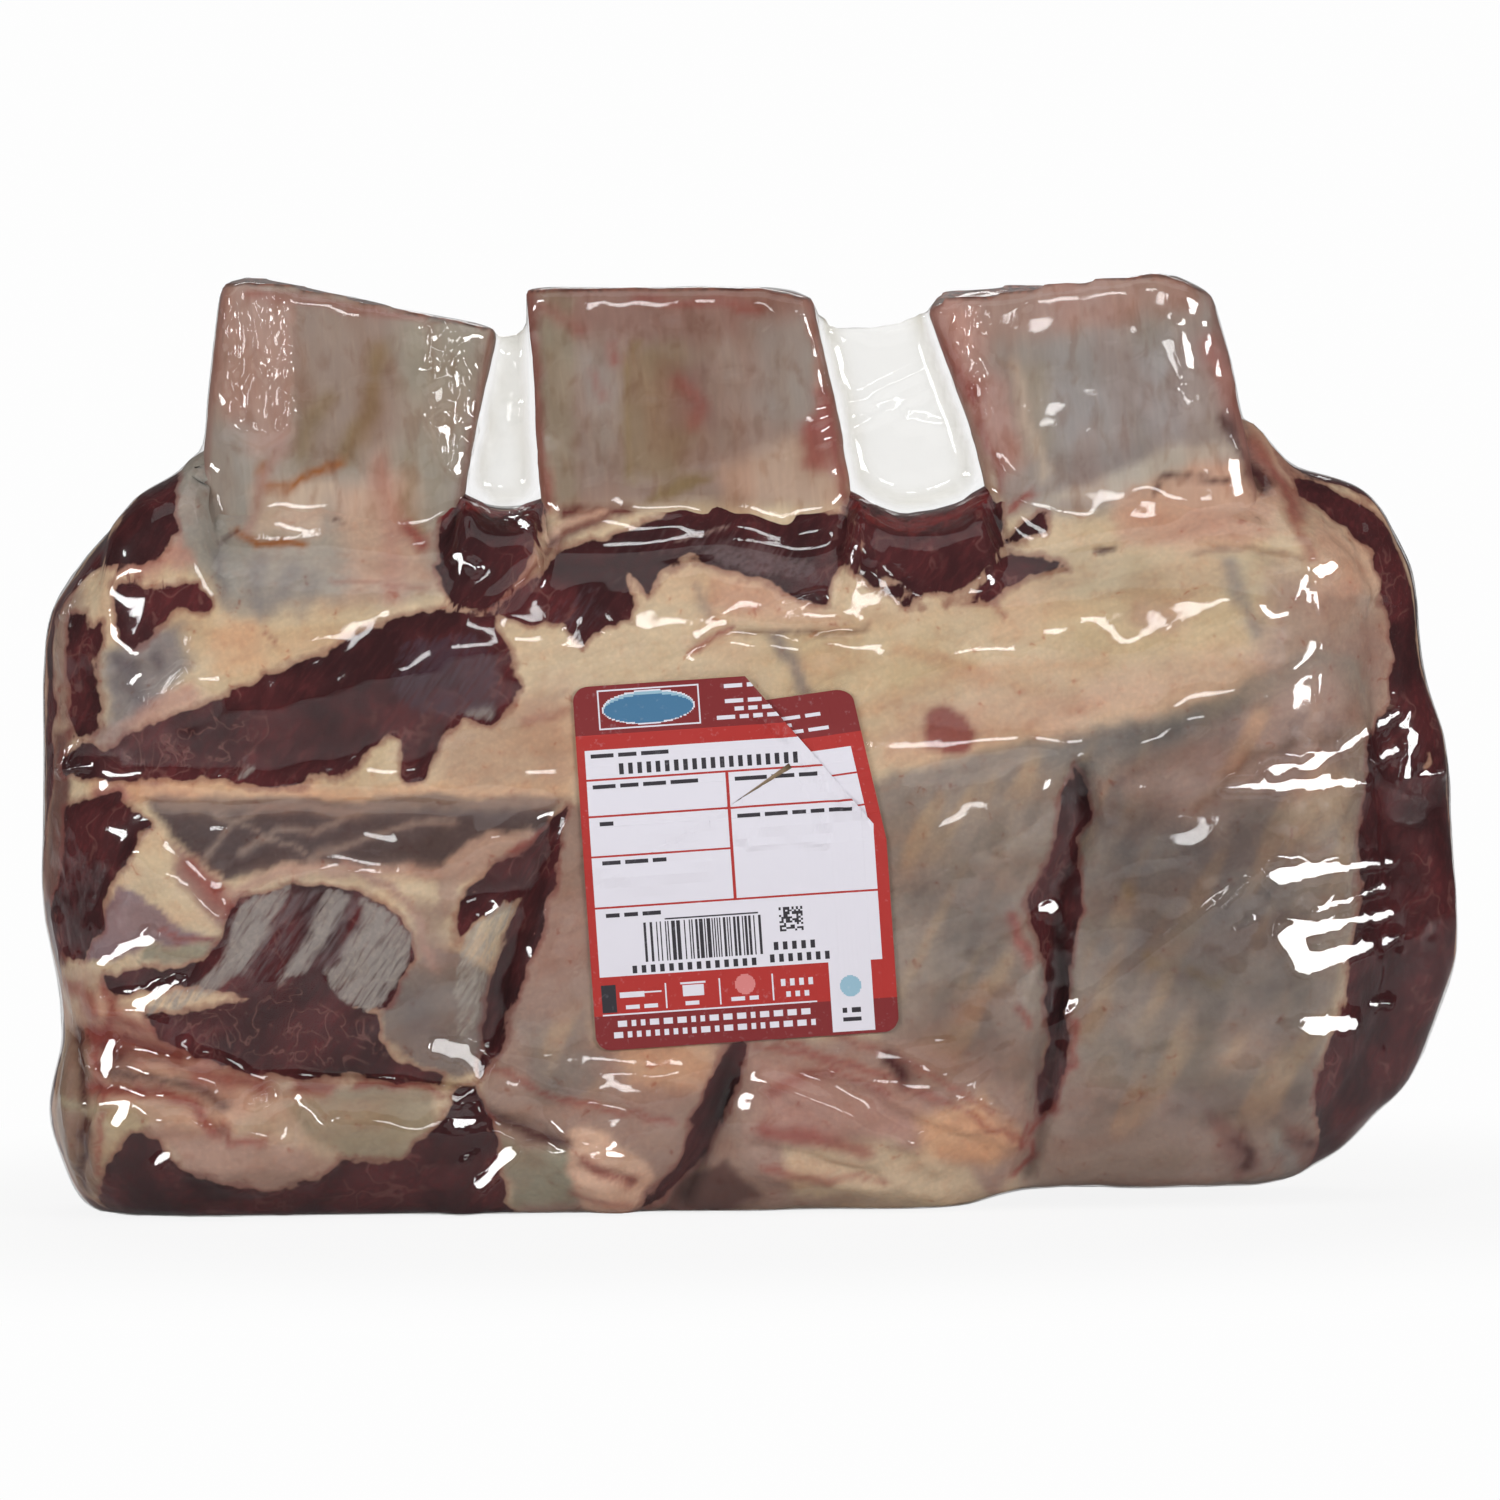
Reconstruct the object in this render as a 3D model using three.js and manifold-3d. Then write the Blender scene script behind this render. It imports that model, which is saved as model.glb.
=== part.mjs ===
// Raw beef short ribs, vacuum packed in a clear bag: a slab of meat and fat with three rib bones
// that stand out of its top, the bag drawn thin across the two gaps between them, and a paper label.
// Millimetres. The pack stands on its lower edge with the bone side of the ribs facing -Y, +X to the
// viewer's right and +Z up. The origin is the middle of the base.
import * as THREE from "three";
import { mergeVertices } from "three/addons/utils/BufferGeometryUtils.js";
import Module from "manifold-3d";

const wasm = await Module();
wasm.setup();

// Driving dimensions.
const SLAB_WIDTH = 282;
const SLAB_DEPTH = 72;
const SLAB_HEIGHT = 145;
const SLAB_ROUNDING = 28; // radius of every edge of the slab
const BASE_SQUASH = 8; // how far the rounded underside is pressed flat by standing
const RIB_THICKNESS = 16;
const RIB_FRONT_COVER = 6; // fat between the slab's front and a rib
const RIB_BOTTOM = 16; // lower end of a rib, inside the meat
const FILM_WEB = 0.8; // two layers of film, drawn together
const LABEL_WIDTH = 60;
const LABEL_HEIGHT = 72;
const LABEL_STANDOFF = 1.2; // from the slab's front to the label's face
const CLEARANCE = 0.35; // between neighbouring pieces

// How finely the solids are divided.
const SLAB_CELLS = { x: 46, y: 9, z: 26 };
const RIB_SECTION_POINTS = 18;
const RIB_STEPS = 14;
const LABEL_CELLS = { x: 12, z: 14 };
const WEB_EDGE_POINTS = 8;

// The three ribs. x and top place the sawn end, and foot is the width further down. slant is how much
// higher the sawn end is at its left corner than at its right, and corners is how far they are worn down.
const RIBS = [
  {
    name: "rib_bone_left",
    x: -75.4, top: 181.2, width: 56, foot: 53, lean: -0.225, slant: 9.3, corners: [3, 0.5],
  },
  {
    name: "rib_bone_middle",
    x: -14.9, top: 184.2, width: 57, foot: 62, lean: 0.16, slant: 1, corners: [0.5, 2],
  },
  {
    name: "rib_bone_right",
    x: 63.2, top: 185.2, width: 58, foot: 54, lean: 0.36, slant: -2.6, corners: [5, 5],
  },
];
const LEAN_REACH = 80; // below the sawn end a rib leans outwards, most of it within this height
const FOOT_REACH = 40; // the width eases from width to foot within this height
const RIB_TAPER = { share: 0.8, over: 30 }; // the lower end narrows to this share of the width
const RIB_SQUARENESS = 0.42; // of the section: 1 is an ellipse, and towards 0 it is a rectangle
const RIB_HOLLOW = { depth: 1.2, reach: 0.5 }; // along the front, its reach as a share of half the width
const CUT_FROM = 0.7; // the sawn end's slant begins at this share of a rib's length
const CORNER_FROM = 0.74; // its corners are worn from this share of half the width

// The front: a belly flap lies over the lower part. Stations are [x, height of its upper edge].
const FLAP_EDGE = [[-141, 83], [-20, 83], [28, 85], [66, 92], [100, 102], [141, 120]];
const FLAP_STEP = 4.5;
const FLAP_LIP = 7; // height over which the step rises
const FLAP_FADE = { from: 20, to: 110, share: 0.8 }; // this share of the step dies out between these x

// Cuts through the flap: a line of [x, z] points, the half width and the depth.
const SLITS = [
  { line: [[66, 87], [66.5, 76], [60, 62], [61, 43], [58, 23], [54, 8]], reach: 4.2, depth: 4 },
  { line: [[-36, 80], [-43, 68], [-48, 53], [-52, 33]], reach: 4.2, depth: 3.5 },
  { line: [[-3, 31], [-7, 20], [-14, 4]], reach: 4.2, depth: 5 },
  { line: [[-134, 37], [-99, 29], [-60, 25]], reach: 3.6, depth: 3 },
];

// Swellings of the front: centre, reach along and across, turn in degrees, and height.
const LUMPS = [
  { x: -83, z: 105, along: 40, across: 9, turn: 14, height: 3 }, // strip of muscle
  { x: -100, z: 17, along: 34, across: 9, turn: -6, height: 2.5 }, // lower roll of fat
  { x: -29, z: 11, along: 9, across: 9, turn: 0, height: 4 }, // knob of fat
  { x: 12, z: 13, along: 26, across: 12, turn: 4, height: 2.5 }, // folded fat
  { x: 37, z: 56, along: 17, across: 34, turn: 0, height: 2.5 }, // membrane, middle
  { x: 92, z: 55, along: 25, across: 38, turn: 0, height: 3 }, // membrane, right
  { x: 74, z: 112, along: 40, across: 12, turn: 6, height: 3 }, // thick fat
];

// The back: the outer meat, [x, z, reach, height].
const BACK_SWELLS = [[-70, 80, 48, 4], [28, 62, 52, 3.5], [96, 92, 34, 3], [-18, 116, 30, 2.5]];
const RELIEF_FALLOFF = 1.5; // how quickly the relief dies out round the rounded edges

// The sides as a share of the slab's half width, by height: the lower right corner is trimmed off.
const RIGHT_SIDE = [
  [0, 0.78], [12, 0.855], [22, 0.925], [31, 0.965], [50, 1.006],
  [84, 0.995], [112, 0.955], [132, 0.955], [150, 1.01],
];
const LEFT_SIDE = [
  [0, 1], [12, 0.995], [21, 1.002], [36, 0.978], [62, 1.004],
  [118, 1], [128, 0.972], [137, 0.957], [150, 0.975],
];

// The upper edge dips in the gaps between the ribs, and climbs a little at the left shoulder and
// far up the right rib's outer side.
const TOP_ZONE = 45; // how far down the upper edge's shape reaches
const TOP_RISES = [[-115, 9, 3], [-48, 12, -5], [33, 15, -9], [96, 9, 22]]; // x, reach and rise
const TOP_CLIMB = { y: -20, reach: 12 }; // both climbs are beside the ribs and not over the back

// The right part of the underside is lifted clear of the surface.
const BASE_LIFT = { from: 40, over: 12, height: 4 };

// The bag between two ribs: how far the sheet goes behind the ribs and starts below their corners,
// how much its upper edge sags, how far it spreads on either side below, and where it ends below.
const WEB = { tuck: 5, drop: 2, sag: 0.26, spread: [12, 18], foot: 115 };

const LABEL_CENTRE = { x: -2.7, z: 70.8 };
const LABEL_TURN = THREE.MathUtils.degToRad(3.2);
const LABEL_CORNER = { size: 3, cut: 0.3 };
const LABEL_PLEAT = { draw: 9, above: 8, over: 26, from: -6, to: 30 }; // draws the upper right corner in
const LABEL_GRIP = { margin: 1, fade: 9 }; // how far round the label the bag is held taut
const LABEL_EASE = 15; // how much more gently the flap's step rises where the label lies on it
const LABEL_ROOT = 1.6; // how far the label's back reaches into the slab before the slab cuts it
const SLIT_SHARE_UNDER_LABEL = 0.2;

const smooth = (t) => THREE.MathUtils.smoothstep(t, 0, 1);
const bell = (t) => Math.exp(-t * t);

// Eases between [position, value] stations.
function along(stations, position) {
  const next = stations.findIndex(([at]) => at > position);
  if (next === 0) return stations[0][1];
  if (next < 0) return stations.at(-1)[1];
  const [[from, low], [to, high]] = [stations[next - 1], stations[next]];
  return THREE.MathUtils.lerp(low, high, smooth((position - from) / (to - from)));
}

// Distance from (x, z) to a line of points.
function distanceToLine(x, z, line) {
  const point = new THREE.Vector3(x, 0, z);
  const foot = new THREE.Vector3();
  let least = Infinity;
  for (let i = 1; i < line.length; i++) {
    const [a, b] = [line[i - 1], line[i]].map(([px, pz]) => new THREE.Vector3(px, 0, pz));
    new THREE.Line3(a, b).closestPointToPoint(point, true, foot);
    least = Math.min(least, foot.distanceTo(point));
  }
  return least;
}

function lump(x, z, { x: cx, z: cz, along: reach, across, turn, height }) {
  const angle = THREE.MathUtils.degToRad(turn);
  const u = (x - cx) * Math.cos(angle) + (z - cz) * Math.sin(angle);
  const v = (z - cz) * Math.cos(angle) - (x - cx) * Math.sin(angle);
  return height * bell(Math.hypot(u / reach, v / across));
}

// 1 where the label holds the bag taut, falling to 0 outside it.
function underLabel(x, z) {
  const beside = Math.abs(x - LABEL_CENTRE.x) - LABEL_WIDTH / 2;
  const above = Math.abs(z - LABEL_CENTRE.z) - LABEL_HEIGHT / 2;
  return 1 - smooth((Math.max(beside, above) - LABEL_GRIP.margin) / LABEL_GRIP.fade);
}

// How far the front stands out of a flat face at (x, z).
function frontRelief(x, z) {
  const fade = 1 - FLAP_FADE.share * smooth((x - FLAP_FADE.from) / (FLAP_FADE.to - FLAP_FADE.from));
  const pressed = underLabel(x, z);
  const lip = FLAP_LIP + LABEL_EASE * pressed;
  let relief = FLAP_STEP * fade * smooth((along(FLAP_EDGE, x) - z) / lip + 0.5);
  for (const one of LUMPS) relief += lump(x, z, one);
  for (const slit of SLITS) {
    const depth = slit.depth * THREE.MathUtils.lerp(1, SLIT_SHARE_UNDER_LABEL, pressed);
    relief -= depth * bell(distanceToLine(x, z, slit.line) / slit.reach);
  }
  return relief;
}

function backRelief(x, z) {
  return BACK_SWELLS.reduce(
    (sum, [cx, cz, reach, height]) => sum + height * bell(Math.hypot(x - cx, z - cz) / reach), 0);
}

function topRise(x, y) {
  return TOP_RISES.reduce((sum, [cx, reach, rise]) => {
    const depthwise = rise > 0 ? bell((y - TOP_CLIMB.y) / TOP_CLIMB.reach) : 1;
    return sum + rise * bell((x - cx) / reach) * depthwise;
  }, 0);
}

// A box whose vertices are moved: first rounded, then swollen and trimmed to the slab's own shape.
function slabGeometry(allowance = 0) {
  const half = new THREE.Vector3(SLAB_WIDTH, SLAB_DEPTH, SLAB_HEIGHT + BASE_SQUASH).multiplyScalar(0.5);
  const inner = half.clone().subScalar(SLAB_ROUNDING);
  const box = new THREE.BoxGeometry(2, 2, 2, SLAB_CELLS.x, SLAB_CELLS.y, SLAB_CELLS.z);
  const position = box.getAttribute("position");
  const point = new THREE.Vector3();
  for (let i = 0; i < position.count; i++) {
    const corner = point.fromBufferAttribute(position, i).multiply(half).clone();
    const core = corner.clone().clamp(inner.clone().negate(), inner);
    const outward = corner.sub(core).normalize();
    const p = core.addScaledVector(outward, SLAB_ROUNDING + allowance);
    p.z += half.z - BASE_SQUASH;
    p.x *= along(p.x > 0 ? RIGHT_SIDE : LEFT_SIDE, p.z);
    const facing = Math.abs(outward.y) ** RELIEF_FALLOFF;
    p.y += outward.y < 0 ? -facing * frontRelief(p.x, p.z) : facing * backRelief(p.x, p.z);
    p.z += topRise(p.x, p.y) * smooth((p.z - SLAB_HEIGHT + TOP_ZONE) / TOP_ZONE);
    const lift = BASE_LIFT.height * smooth((p.x - BASE_LIFT.from) / BASE_LIFT.over);
    p.z = Math.max(p.z, lift - allowance);
    position.setXYZ(i, p.x, p.y, p.z);
  }
  return box;
}

// Where a rib's middle is, and half its width, at height z.
function ribAt(rib, z) {
  const below = Math.max(rib.top - z, 0);
  const lean = rib.lean * LEAN_REACH * (1 - Math.exp(-below / LEAN_REACH));
  const width = THREE.MathUtils.lerp(rib.width, rib.foot, smooth(below / FOOT_REACH));
  const taper = THREE.MathUtils.lerp(RIB_TAPER.share, 1, smooth((z - RIB_BOTTOM) / RIB_TAPER.over));
  return { x: rib.x + lean, half: (width * taper) / 2 };
}

const RIB_MIDDLE_Y = -SLAB_DEPTH / 2 + RIB_FRONT_COVER + RIB_THICKNESS / 2;

// A flat bar with rounded edges, a shallow hollow along its front, and a slanting sawn top.
function ribGeometry(rib, allowance = 0) {
  const squared = (t) => Math.sign(t) * Math.abs(t) ** RIB_SQUARENESS;
  const outline = Array.from({ length: RIB_SECTION_POINTS }, (_, i) => {
    const angle = ((i + 0.5) / RIB_SECTION_POINTS) * 2 * Math.PI;
    return new THREE.Vector2(squared(Math.cos(angle)), squared(Math.sin(angle)));
  });
  const bar = new THREE.ExtrudeGeometry(new THREE.Shape(outline), {
    depth: 1, steps: RIB_STEPS, bevelEnabled: false,
  });
  const position = bar.getAttribute("position");
  const length = rib.top - RIB_BOTTOM + 2 * allowance;
  for (let i = 0; i < position.count; i++) {
    const [u, v, t] = [position.getX(i), position.getY(i), position.getZ(i)];
    const worn = rib.corners[u < 0 ? 0 : 1] * smooth((Math.abs(u) - CORNER_FROM) / (1 - CORNER_FROM));
    const cut = -(rib.slant * 0.5 * u + worn) * smooth((t - CUT_FROM) / (1 - CUT_FROM));
    const z = RIB_BOTTOM - allowance + t * length + cut;
    const { x, half } = ribAt(rib, z);
    const hollow = v < 0 ? RIB_HOLLOW.depth * bell(u / RIB_HOLLOW.reach) : 0;
    const y = RIB_MIDDLE_Y + v * (RIB_THICKNESS / 2 + allowance) + hollow;
    position.setXYZ(i, x + u * (half + allowance), y, z);
  }
  return bar;
}

// The bag between two ribs: a thin sheet with a sagging upper edge, wider than the gap until it is cut.
function webGeometry(left, right) {
  const start = new THREE.Vector2(
    left.x + left.width / 2 - WEB.tuck, left.top - left.slant / 2 - WEB.drop);
  const end = new THREE.Vector2(
    right.x - right.width / 2 + WEB.tuck, right.top + right.slant / 2 - WEB.drop);
  const middle = start.clone().lerp(end, 0.5);
  middle.y -= WEB.sag * start.distanceTo(end);
  const sheet = new THREE.Shape();
  sheet.moveTo(start.x, start.y);
  sheet.quadraticCurveTo(middle.x, middle.y, end.x, end.y);
  sheet.lineTo(end.x + WEB.spread[1], WEB.foot);
  sheet.lineTo(start.x - WEB.spread[0], WEB.foot);
  const made = { depth: FILM_WEB, bevelEnabled: false, curveSegments: WEB_EDGE_POINTS };
  return new THREE.ExtrudeGeometry(sheet, made)
    .rotateX(Math.PI / 2)
    .translate(0, RIB_MIDDLE_Y + FILM_WEB / 2, 0);
}

// The label follows the front. Its back is left thick, and the slab's own surface cuts it.
function labelGeometry() {
  const { size, cut } = LABEL_CORNER;
  const [w, h] = [LABEL_WIDTH / 2, LABEL_HEIGHT / 2];
  const { draw, above, over, from, to } = LABEL_PLEAT;
  const plate = new THREE.BoxGeometry(LABEL_WIDTH, 1, LABEL_HEIGHT, LABEL_CELLS.x, 1, LABEL_CELLS.z);
  const position = plate.getAttribute("position");
  for (let i = 0; i < position.count; i++) {
    let [u, v, s] = [position.getX(i), position.getY(i), position.getZ(i)];
    const nearCorner = Math.max(Math.abs(u) - (w - size), 0) * Math.max(Math.abs(s) - (h - size), 0);
    u -= (Math.sign(u) * cut * nearCorner) / size;
    s -= (Math.sign(s) * cut * nearCorner) / size;
    u -= draw * smooth((s - above) / over) * smooth((u - from) / (to - from));
    const x = LABEL_CENTRE.x + u * Math.cos(LABEL_TURN) - s * Math.sin(LABEL_TURN);
    const z = LABEL_CENTRE.z + u * Math.sin(LABEL_TURN) + s * Math.cos(LABEL_TURN);
    const front = -SLAB_DEPTH / 2 - frontRelief(x, z);
    position.setXYZ(i, x, v < 0 ? front - LABEL_STANDOFF : front + LABEL_ROOT, z);
  }
  return plate;
}

function solid(geometry) {
  const bare = geometry.index ? geometry.toNonIndexed() : geometry;
  bare.deleteAttribute("normal");
  bare.deleteAttribute("uv");
  const merged = mergeVertices(bare, 1e-3);
  return new wasm.Manifold(new wasm.Mesh({
    numProp: 3,
    vertProperties: new Float32Array(merged.getAttribute("position").array),
    triVerts: new Uint32Array(merged.index.array),
  }));
}

const largest = (made) => made.decompose().sort((a, b) => b.volume() - a.volume())[0];

function meshOf(name, made, look) {
  const { vertProperties, triVerts } = made.getMesh();
  const geometry = new THREE.BufferGeometry();
  geometry.setAttribute("position", new THREE.BufferAttribute(vertProperties, 3));
  geometry.setIndex(new THREE.BufferAttribute(triVerts, 1));
  geometry.computeVertexNormals();
  const mesh = new THREE.Mesh(geometry, new THREE.MeshStandardMaterial({ metalness: 0, ...look }));
  mesh.name = name;
  return mesh;
}

const MEAT = { color: "#7a4038", roughness: 0.45 };
const BONE = { color: "#b3a392", roughness: 0.4 };
const FILM = { color: "#eceae2", roughness: 0.1, transparent: true, opacity: 0.3 };
const PAPER = { color: "#e9e6ec", roughness: 0.5 };

const shortRibs = new THREE.Group();

const roomForRibs = RIBS.map((rib) => solid(ribGeometry(rib, CLEARANCE)));
const roomForSlab = solid(slabGeometry(CLEARANCE));

let slab = solid(slabGeometry());
for (const room of roomForRibs) slab = slab.subtract(room);
shortRibs.add(meshOf("meat_slab", largest(slab), MEAT));

for (const rib of RIBS) shortRibs.add(meshOf(rib.name, solid(ribGeometry(rib)), BONE));

for (const [i, name] of ["film_web_left", "film_web_right"].entries()) {
  const web = solid(webGeometry(RIBS[i], RIBS[i + 1]))
    .subtract(roomForSlab)
    .subtract(roomForRibs[i])
    .subtract(roomForRibs[i + 1]);
  shortRibs.add(meshOf(name, largest(web), FILM));
}

const label = solid(labelGeometry()).subtract(roomForSlab);
shortRibs.add(meshOf("label", largest(label), PAPER));

export default shortRibs;
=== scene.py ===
# %% [markdown]
# Raw beef short ribs, vacuum packed. A slab of meat and fat lies round three rib bones, whose sawn
# ends stand out of its top. A clear bag is drawn skin-tight over all of it, across the gaps between
# the ribs too, and carries one paper label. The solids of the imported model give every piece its
# place and size. This script gives them their skin: tissue, bone, paper and film.

# %% Load the frame
import math
import random

import bmesh
import bpy
import numpy as np
from mathutils import Matrix, Vector, noise
from mathutils.bvhtree import BVHTree


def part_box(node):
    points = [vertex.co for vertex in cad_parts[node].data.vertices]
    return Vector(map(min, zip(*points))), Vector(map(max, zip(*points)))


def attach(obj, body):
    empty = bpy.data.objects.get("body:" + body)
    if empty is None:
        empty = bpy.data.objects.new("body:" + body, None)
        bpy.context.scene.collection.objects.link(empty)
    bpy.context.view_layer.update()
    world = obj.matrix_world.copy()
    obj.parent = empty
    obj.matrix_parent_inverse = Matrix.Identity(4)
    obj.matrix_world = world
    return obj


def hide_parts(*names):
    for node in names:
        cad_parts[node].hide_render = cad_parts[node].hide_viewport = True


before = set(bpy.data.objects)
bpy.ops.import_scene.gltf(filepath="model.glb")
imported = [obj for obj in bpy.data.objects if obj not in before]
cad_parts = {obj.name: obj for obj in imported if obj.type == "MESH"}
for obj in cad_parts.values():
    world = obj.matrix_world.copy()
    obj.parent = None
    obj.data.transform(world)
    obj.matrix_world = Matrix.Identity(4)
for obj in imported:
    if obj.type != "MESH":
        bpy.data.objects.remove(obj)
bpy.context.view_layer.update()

# %% [markdown]
# Blender works in metres and a butcher in millimetres. All shapes below are worked out in
# millimetres, as rows of x, y, z, and turned into metres when they are written back to a mesh.
# Smooth steps and bells are the two forms that borders, swellings and stains are made of.

# %% Millimetres and soft shapes
MM = 0.001
TINY = 1e-6
RIB_NAMES = ["rib_bone_left", "rib_bone_middle", "rib_bone_right"]


def smooth(t):
    t = np.clip(t, 0.0, 1.0)
    return t * t * (3.0 - 2.0 * t)


def rising(values, start, over):
    """0 below the start, 1 above the start plus over, smooth between them."""
    return smooth((values - start) / over)


def bell(t):
    return np.exp(-np.square(t))


def blend(a, b, share):
    return a + (b - a) * share


def ripple(points, size, octaves=3, seed=0.0):
    """Smooth random values from about -1 to 1, whose waves are about size millimetres long."""
    shift = Vector((seed * 17.3, seed * 5.1, seed * 11.7))
    return np.array([
        noise.fractal(Vector(p) / size + shift, 1.0, 2.0, octaves) for p in points
    ])


def waves(points, layers):
    """The sum of ripples, each given by its height, its length in mm and its seed."""
    return sum(height * ripple(points, size, seed=seed) for height, size, seed in layers)


print("a smooth step has come", smooth(0.25), "of its way after a quarter")

# %% [markdown]
# The camera comes first. The photograph was taken almost level and from straight ahead, with a long
# lens, so that the front shows almost without perspective. Its frame is 1500 pixels wide, and the
# bars of the label give its scale of 5.05 pixels to a millimetre.

# %% Camera
def placed(name, data):
    """A new object of the scene that holds this mesh, light or camera."""
    made = bpy.data.objects.new(name, data)
    bpy.context.collection.objects.link(made)
    return made


FRAME_PIXELS = 1500
PIXELS_PER_MM = 5.05
SENSOR_WIDTH = 36.0
CAMERA_DISTANCE = 2.2
CAMERA_ELEVATION = 2.0
CAMERA_ROLL = -0.7
VIEW_CENTRE = Vector((0.4, -37.0, 92.3)) * MM

frame_width = FRAME_PIXELS / PIXELS_PER_MM * MM
camera_data = bpy.data.cameras.new("camera")
camera_data.sensor_width = SENSOR_WIDTH
camera_data.lens = SENSOR_WIDTH * CAMERA_DISTANCE / frame_width
camera = placed("camera", camera_data)
tilt = math.radians(CAMERA_ELEVATION)
towards_camera = Vector((0, -math.cos(tilt), math.sin(tilt)))
camera.location = VIEW_CENTRE + towards_camera * CAMERA_DISTANCE
turn = (-towards_camera).to_track_quat("-Z", "Y").to_matrix()
camera.rotation_euler = (turn @ Matrix.Rotation(math.radians(CAMERA_ROLL), 3, "Z")).to_euler()
bpy.context.scene.camera = camera
print("lens in mm:", round(camera_data.lens, 1))

# %% [markdown]
# A small helper keeps the node trees readable: each call adds one node, gives its sockets a value
# or a link, and returns its output. Sizes are given in millimetres and turned into noise scales,
# so that one number says how large the grain, the fibres or the veins really are.
# Nearly everything coarser than about five millimetres will be in attributes of the meshes. The
# materials only add what is finer, which keeps them quick.

# %% A helper for materials
class Recipe:
    """A material, or a world, put together from noises, attributes and mixes."""

    def __init__(self, name, shelf=bpy.data.materials):
        self.owner = shelf.new(name)
        self.owner.use_nodes = True
        self.tree = self.owner.node_tree
        self.tree.nodes.clear()
        self.place = self.node("TexCoord").outputs["Object"]

    def node(self, kind, sockets=None, **settings):
        made = self.tree.nodes.new("ShaderNode" + kind)
        for key, value in settings.items():
            setattr(made, key, value)
        for key, value in (sockets or {}).items():
            if isinstance(value, bpy.types.NodeSocket):
                self.tree.links.new(value, made.inputs[key])
            else:
                made.inputs[key].default_value = value
        return made

    def attribute(self, name, output="Fac"):
        return self.node("Attribute", attribute_name=name).outputs[output]

    def grain(self, length, lean=0.0):
        """Object coordinates in which a noise is drawn out along a line that leans to the right."""
        made = self.node("Mapping", {
            "Vector": self.place, "Rotation": (0, lean, 0), "Scale": (1, 1, length)},
            vector_type="TEXTURE")
        return made.outputs["Vector"]

    def noise(self, size, detail=3.0, distortion=0.0, place=None):
        made = self.node("TexNoise", {
            "Vector": place or self.place, "Scale": 1 / (size * MM), "Detail": detail,
            "Distortion": distortion})
        return made.outputs["Fac"]

    def ramp(self, value, low, high):
        """0 below low, 1 above high, smooth between them."""
        made = self.node("MapRange", {
            "Value": value, "From Min": low, "From Max": high}, interpolation_type="SMOOTHSTEP")
        return made.outputs["Result"]

    def math(self, operation, first, second):
        return self.node("Math", {0: first, 1: second}, operation=operation).outputs[0]

    def mix(self, share, first, second):
        made = self.node("Mix", {0: share, 6: rgba(first), 7: rgba(second)}, data_type="RGBA")
        return made.outputs[2]

    def tone(self, share, colour, tone):
        """The colour times a tone, by share."""
        made = self.node("Mix", {0: share, 6: rgba(colour), 7: rgba(tone)}, data_type="RGBA",
                         blend_type="MULTIPLY")
        return made.outputs[2]

    def lines(self, size, width, distortion=0.8):
        """1 along thin lines that wander and close like veins."""
        away = self.math("SUBTRACT", self.noise(size, 2, distortion), 0.5)
        return self.ramp(self.math("ABSOLUTE", away, 0.0), width, 0.0)

    def bump(self, height, depth):
        sockets = {"Height": height, "Distance": depth * MM, "Strength": 1.0}
        return self.node("Bump", sockets).outputs["Normal"]

    def skin(self, colour, roughness, mirror, normal):
        """The finished material of a solid surface."""
        return self.finish(self.node("BsdfPrincipled", {
            "Base Color": colour, "Roughness": roughness, "Specular IOR Level": mirror,
            "Normal": normal}).outputs[0])

    def shared(self, share, first, second):
        """Two shaders mixed by a share."""
        return self.node("MixShader", {0: share, 1: first, 2: second}).outputs[0]

    def finish(self, shader, kind="OutputMaterial"):
        self.node(kind, {"Surface": shader})
        print(self.owner.name, "has", len(self.tree.nodes), "nodes")
        return self.owner


def rgba(colour):
    return colour if isinstance(colour, bpy.types.NodeSocket) else (*map(float, colour), 1.0)


print("scale of a noise with waves of one millimetre:", 1 / MM)

# %% [markdown]
# The object stands on a pale floor against white. Film shows its shape only by what it mirrors, so
# the camera alone sees the white: mirrored in the film it would lie like milk over the dark meat.
# Three low strips of light stand a little above the height of the eye. They show in every patch
# of film that leans back a few degrees, and in no upright one. The light from above is wide and
# faint. Near the object the floor takes a faint shadow. Further out it fades to the white of the
# background, so that no horizon shows.

# %% Floor, background and softboxes
BACKDROP = (0.985, 0.985, 0.985)
FLOOR_WHITE = (0.86, 0.86, 0.86)
FLOOR_HALF = 2.5
FLOOR_SHADOW_REACH = (0.13, 0.3)
FLOOR_GLOW = 0.9
ROOM_LIGHT = 0.13
LIT_POINT = Vector((0, 0, 0.09))

# Name, place, width and height in metres, power.
SOFTBOXES = [
    ("left_strip", (-1.0, -0.8, 0.37), (0.55, 0.13), 5.8),
    ("right_strip", (0.85, -0.95, 0.37), (0.55, 0.13), 6.4),
    ("front_strip", (0.1, -1.5, 0.41), (0.3, 0.12), 1.4),
    ("top_softbox", (0.0, -0.7, 1.2), (2.0, 1.0), 5.2),
    ("rear_softbox", (0.0, 0.9, 0.9), (0.9, 0.4), 5),
]


def piece_of(bm, name):
    """A new object of the scene from a bmesh, which is freed."""
    mesh = bpy.data.meshes.new(name)
    bm.to_mesh(mesh)
    bm.free()
    return placed(name, mesh)


def make_floor():
    bm = bmesh.new()
    bmesh.ops.create_grid(bm, x_segments=1, y_segments=1, size=FLOOR_HALF)
    floor = piece_of(bm, "floor")
    return floor


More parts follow.
